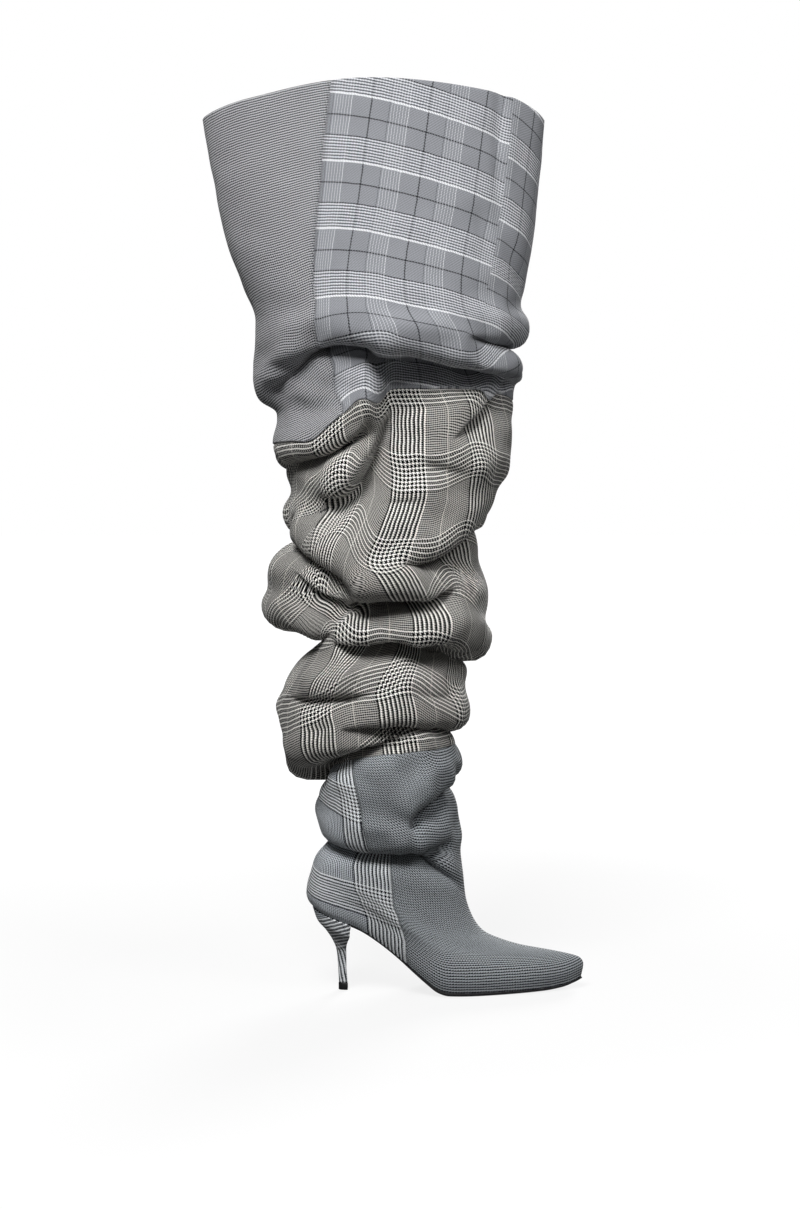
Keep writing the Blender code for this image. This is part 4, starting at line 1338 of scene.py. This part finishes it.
def rows_in_two(start, change, end, rows, more):
    """Levels of the rows up a piece: some up to a change, and more beyond it."""
    return np.concatenate([np.linspace(start, change, rows), np.linspace(change, end, more)[1:]])


foot_levels = rows_in_two(AT_LOWER_EDGE, AT_ANKLE, ANKLE_TUCK, FOOT_ROWS, CUFF_ROWS)
counter_zero = over_edge(COUNTER_AT + CUFF_TURN * smooth_step((foot_levels - CUFF_FROM) / CUFF_RAMP))
print("upper rows", len(foot_levels))

# %% Upper
counter = Panel(
    cloths["pale_glen"], -COUNTER_AT, COUNTER_AT, counter_zero, COUNTER_SHIFT, COUNTER_SLOPES, plumb=True,
)
vamp = Panel(cloths["small_tooth"], COUNTER_AT, TURN - COUNTER_AT, OUTER_SIDE)
upper = tube(
    "upper_cloth", foot_levels, seam_pair(COUNTER_AT, COUNTER_SEAM, foot_levels), (counter, vamp),
    FROM_LOWER_EDGE, Tuck(AT_ANKLE_SEAM, ANKLE_TUCK_DEEP),
)
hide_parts("upper")
print("upper", len(upper.data.polygons), "faces")

# %% [markdown]
# ## The middle of the shaft
#
# The middle is one broad panel of bold glen check, closed on the inner side, and it has the deepest
# folds. Slack cloth turns round the leg as it falls, so the place of the first bold band is a row of
# angles from seam to seam, and the lengths up are shared out to keep the check level in each ring.

# %% Middle of the shaft
MIDDLE_AT = math.radians(270)
MIDDLE_ROWS = 186
MIDDLE_SHIFT = (0.0, 0.025)
KNEE_TUCK, KNEE_TUCK_DEEP = 3.025, 0.0015       # the middle runs on a little under the top
MIDDLE_TWIST = np.array([
    # level degrees of the first bold band: slack cloth has turned round the leg
    (2.00, 96.0),
    (2.09, 97.5),
    (2.18, 92.0),
    (2.31, 106.0),
    (2.40, 107.0),
    (2.53, 88.0),
    (3.00, 87.5),
])
middle_levels = np.linspace(AT_ANKLE_SEAM, KNEE_TUCK, MIDDLE_ROWS)
twist = over_edge(np.radians(smooth_rows(MIDDLE_TWIST[:, 0], MIDDLE_TWIST[:, 1], middle_levels)))
middle = tube(
    "shaft_middle_cloth", middle_levels, {MIDDLE_AT: np.full_like(middle_levels, MIDDLE_AT)},
    (Panel(cloths["bold_glen"], MIDDLE_AT - TURN, MIDDLE_AT, twist, MIDDLE_SHIFT),),
    SHARED, Tuck(AT_KNEE_SEAM, KNEE_TUCK_DEEP),
)
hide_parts("shaft_middle")
print("middle", len(middle.data.polygons), "faces")

# %% [markdown]
# ## The top of the shaft
#
# The top stands wide open: a fine pick weave at the back and a line check at the front, joined by an
# upright seam, with a pressed pleat down the front that the check jumps across. It is measured from the
# top edge, so the check runs along that edge, and the knee roll folds it under.

# %% Top of the shaft
TOP_SEAM = np.array([
    # level degrees
    (3.00, 66.0),
    (3.12, 66.0),
    (3.27, 58.0),
    (3.60, 68.0),
    (4.00, 77.0),
])
TOP_AT = math.radians(66)
TOP_SHIFT = (-0.0292, 0.0235)
TOP_SLOPES = (0.06, 0.20)               # the check leans more towards the top edge
TOP_TALL = 0.28                         # metres from the knee seam to the top edge
EDGE_PULL = WALL / 2                    # so much lower, the rounded edge ends on the top line
ROLL_TOP = 3.45                         # level where the knee roll ends
ROLL_ROWS, STRAIGHT_ROWS = 90, 60
PLEAT = Pleat(math.radians(139), 0.012, 0.30, 0.66)
top_end = AT_TOP_EDGE - EDGE_PULL / TOP_TALL
top_levels = rows_in_two(AT_KNEE_SEAM, ROLL_TOP, top_end, ROLL_ROWS, STRAIGHT_ROWS)
top = tube(
    "shaft_top_cloth", top_levels, seam_pair(TOP_AT, TOP_SEAM, top_levels),
    (
        Panel(cloths["pick_grey"], -TOP_AT, TOP_AT, 0.0),
        Panel(cloths["line_check"], TOP_AT, TURN - TOP_AT, OUTER_SIDE, TOP_SHIFT, TOP_SLOPES, PLEAT),
    ),
    FROM_TOP_EDGE,
)
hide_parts("shaft_top")
print("top", len(top.data.polygons), "faces")

# %% [markdown]
# ## The heel
#
# A slim heel is a wooden or plastic core with the upper's check pulled round it. It could be lathed, but
# its front, the breast, is nearly flat and its back is round. So it is a stack of rings from the seat
# down to the tip, each half round at the back and slightly hollow along the breast.

# %% Heel rings
SOLE_MARGIN = 0.0008
BREAST_X = -0.0365
HEEL_ROWS = np.array([
    # back_x  back_z  front_x  front_z  half
    (-0.0660, 0.0615, -0.0375, 0.0485, 0.0205),
    (-0.0590, 0.0530, -0.0388, 0.0445, 0.0142),
    (-0.0525, 0.0430, -0.0402, 0.0395, 0.0086),
    (-0.0493, 0.0350, -0.0408, 0.0340, 0.0062),
    (-0.0478, 0.0200, -0.0407, 0.0200, 0.0047),
    (-0.0471, 0.0063, -0.0398, 0.0063, 0.0040),
])
HEEL_SEAT_HALF = 0.0232
HEEL_ROUND = 0.80
HEEL_RINGS, HEEL_STEPS, BREAST_STEPS = 70, 61, 14
BREAST_HOLLOW = 0.06        # how far the breast curves in, as a share of the half width


def heel_ring(back_x, back_z, front_x, front_z, half, hollow=BREAST_HOLLOW):
    """Round the heel's back from one breast corner to the other, then along the breast."""
    turn = np.linspace(0, math.pi, HEEL_STEPS)
    reach = np.abs(np.sin(turn)) ** HEEL_ROUND
    across = np.sign(np.cos(turn)) * np.abs(np.cos(turn)) ** HEEL_ROUND
    back_places = front_x + (back_x - front_x) * reach, half * across, front_z + (back_z - front_z) * reach
    back = np.stack(back_places, -1)
    share = np.linspace(-1, 1, BREAST_STEPS + 2)[1:-1]
    dip = hollow * half * (1 - share ** 2)
    breast = np.stack([front_x - dip, half * share, np.full_like(share, front_z)], -1)
    return np.concatenate([back, breast])


def capped_stack(name, rings, materials):
    """A closed solid through rings, the top or toe ring first, with a face over each end."""
    count, around = rings.shape[:2]
    walls = ring_faces(count, around)[:-1, :, ::-1].reshape(-1, 4).tolist()
    ends = [list(range(around)), list(range(count * around - 1, (count - 1) * around - 1, -1))]
    return new_piece(name, rings.reshape(-1, 3), walls + ends, materials)


print("points round the heel", HEEL_STEPS + BREAST_STEPS)

# %% Heel cover
seat_back = LAST_ROWS[0][0] - SOLE_MARGIN
seat = heel_ring(seat_back, 0, BREAST_X - GAP, 0, HEEL_SEAT_HALF)
seat[:, 2] = sole_top(seat[:, 0])
seat_heights = sole_top(np.array([seat_back, BREAST_X]))
seat_row = (seat_back, seat_heights[0], BREAST_X - GAP, seat_heights[1], HEEL_SEAT_HALF)
heel_table = np.array([seat_row, *HEEL_ROWS])
heel_steps = np.hypot(*np.diff(heel_table[:, :2], axis=0).T)
heel_places = np.append(0, np.cumsum(heel_steps))
ring_places = np.linspace(0, heel_places[-1], HEEL_RINGS)
heel_rows = zip(*(smooth_rows(heel_places, column, ring_places) for column in heel_table.T))
heel_rings = np.array([heel_ring(*row) for row in heel_rows])
settle = smooth_step(1 - ring_places / heel_places[1])[:, None]
heel_rings[..., 2] += settle * (seat[:, 2] - heel_rings[0, :, 2])
heel_rings[0] = seat
heel = capped_stack("heel_cover", heel_rings, [cloths["pale_glen"]])
print("heel rings", len(heel_rings), "height", round(float(np.ptp(heel_rings[..., 2])), 4))
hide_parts("heel")

# %% [markdown]
# The cover is cut from the same pale glen. Wrapping a cone makes its threads lean, so the place in the
# flat cloth is the length round the heel plus a lean with height, and the height less a slant.

# %% Check on the heel
HEEL_CHECK_FOOT = -0.048, 0.035         # x and z where the bold bands of the check end on the neck
HEEL_SHIFT = 0.0216                     # puts a bold warp band down the stem
HEEL_SLANT, STEM_SLANT = 0.32, 0.10     # the cover's threads lean, as cloth cut to wrap a cone does
heel_round = np.cumsum(np.linalg.norm(np.diff(heel_rings, axis=1, append=heel_rings[:, :1]), axis=-1), 1)
heel_round = heel_round - heel_round[:, [HEEL_STEPS // 2]]
heel_up = heel_rings[..., 2] - HEEL_CHECK_FOOT[1]
heel_along = heel_rings[..., 0] - HEEL_CHECK_FOOT[0]
heel_lean = np.where(heel_up > 0, HEEL_SLANT, STEM_SLANT) * heel_up
heel_flat = np.stack([heel_round + heel_lean + HEEL_SHIFT, heel_up - HEEL_SLANT * heel_along], -1)
heel_flat = heel_flat.reshape(-1, 2)
corner_points = np.empty(len(heel.data.loops), np.int32)
heel.data.loops.foreach_get("vertex_index", corner_points)
lay_flat(heel.data, heel_flat[corner_points])
print("heel cover spans", np.ptp(heel_flat, axis=0).round(4), "m of cloth")

# %% [markdown]
# ## The top piece
#
# The heel stands on a small tip of black rubber, pressed on under the cover. A plain block would catch
# no light on its edges, so its rings go in a little at the top and the bottom.

# %% Top piece
TIP_BACK, TIP_FRONT, TIP_HALF, TIP_TALL = -0.0474, -0.0394, 0.0044, 0.0060
TIP_EDGE = 0.0005           # rounding of the tip's edges
EDGE_PART = 0.3             # the middle row of a rounded edge lies this share of its rounding in
SHARP_ANGLE = math.radians(50)
low_edge = ((0.0, TIP_EDGE), (TIP_EDGE * EDGE_PART, TIP_EDGE * EDGE_PART), (TIP_EDGE, 0.0))
tip_rows = [(TIP_TALL - z, inset) for z, inset in low_edge] + list(reversed(low_edge))
tip_rings = [
    heel_ring(TIP_BACK + inset, z, TIP_FRONT - inset, z, TIP_HALF - inset, 0.0) for z, inset in tip_rows
]
top_piece = capped_stack("heel_top_piece_rubber", np.array(tip_rings), [TOP_RUBBER])
top_piece.data.set_sharp_from_angle(angle=SHARP_ANGLE)
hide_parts("heel_top_piece")
print("top piece", len(top_piece.data.polygons), "faces")

# %% [markdown]
# ## The outsole
#
# The sole is a thin black leather that shows as a dark line under the upper and thins out along the
# arch and at the toe. It is a profile carried along the foot: a flat tread, two rounded edges and a top
# that stays under the upper's edge.

# %% Outline of the sole
SOLE_STEPS = 140
SOLE_EDGE = 0.0007          # rounding of the sole's edge


def plan_line(x, margin):
    """Half width of the lower edge's outline at x, moved out by a margin."""
    first = dict(zip(LAST_COLUMNS, LAST_ROWS[0]))
    length = first["front_x"] - first["back_x"] + 2 * margin
    share = np.clip((x - first["back_x"] + margin) / length, 0, 1)
    angle = np.arccos(1 - 2 * share)[None, :]
    columns = [np.array([[first[c]]]) for c in WIDTH_COLUMNS]
    return half_width(columns, angle)[0] + margin


SOLE_TAPER = np.array([
    # x       share of the full thickness that the edge shows
    (-0.040, 0.40),
    (0.000, 0.45),
    (0.030, 0.80),
    (0.048, 0.90),
    (0.080, 0.80),
    (0.165, 0.45),
])
print("widest half of the sole", plan_line(np.linspace(0, 0.12, 50), SOLE_MARGIN).max().round(4))

# %% Outsole
SOLE_TIP_HALF = 0.0004      # the sole is never narrower, so its toe stays closed
SOLE_SECTION = (
    # inset from the side, share of the thickness
    (SOLE_EDGE, 0.0),
    (SOLE_EDGE * EDGE_PART, 0.1),
    (0.0, 0.25),
    (0.0, 0.75),
    (SOLE_EDGE * EDGE_PART, 0.9),
    (SOLE_EDGE, 1.0),
)


def build_sole():
    """Cross sections along the sole: flat tread, rounded edges and a top under the upper's edge."""
    toe = LAST_ROWS[0][2] + SOLE_MARGIN
    x = BREAST_X + (toe - BREAST_X) * np.sin(np.linspace(0, math.pi / 2, SOLE_STEPS))
    edge = last_rings(np.linspace(0, math.pi, SOLE_STEPS)[None, :], np.zeros((1, SOLE_STEPS)))[0]
    thick = SOLE_THICK * smooth_rows(SOLE_TAPER[:, 0], SOLE_TAPER[:, 1], x)
    half, top = plan_line(x, SOLE_MARGIN), np.interp(x, edge[:, 0], edge[:, 2]) - GAP
    outline = [(-1, *row) for row in SOLE_SECTION] + [(1, *row) for row in reversed(SOLE_SECTION)]
    lines = [
        np.stack([x, swing(x) + side * np.maximum(half - inset, SOLE_TIP_HALF), top - thick * (1 - up)], -1)
        for side, inset, up in outline
    ]
    toe_first = np.stack(lines, 1)[::-1]
    return capped_stack("outsole_leather", toe_first, [SOLE_LEATHER])


sole = build_sole()
sole.data.set_sharp_from_angle(angle=SHARP_ANGLE)
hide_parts("outsole")
print("outsole", len(sole.data.polygons), "faces")

# %% [markdown]
# ## The insole
#
# The insole's solid has the right shape already. Hidden in the boot, it only takes the lining's finish.

# %% Insole
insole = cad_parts["insole"]
insole.data.materials.clear()
insole.data.materials.append(LINING)
print("insole wears", insole.data.materials[0].name)
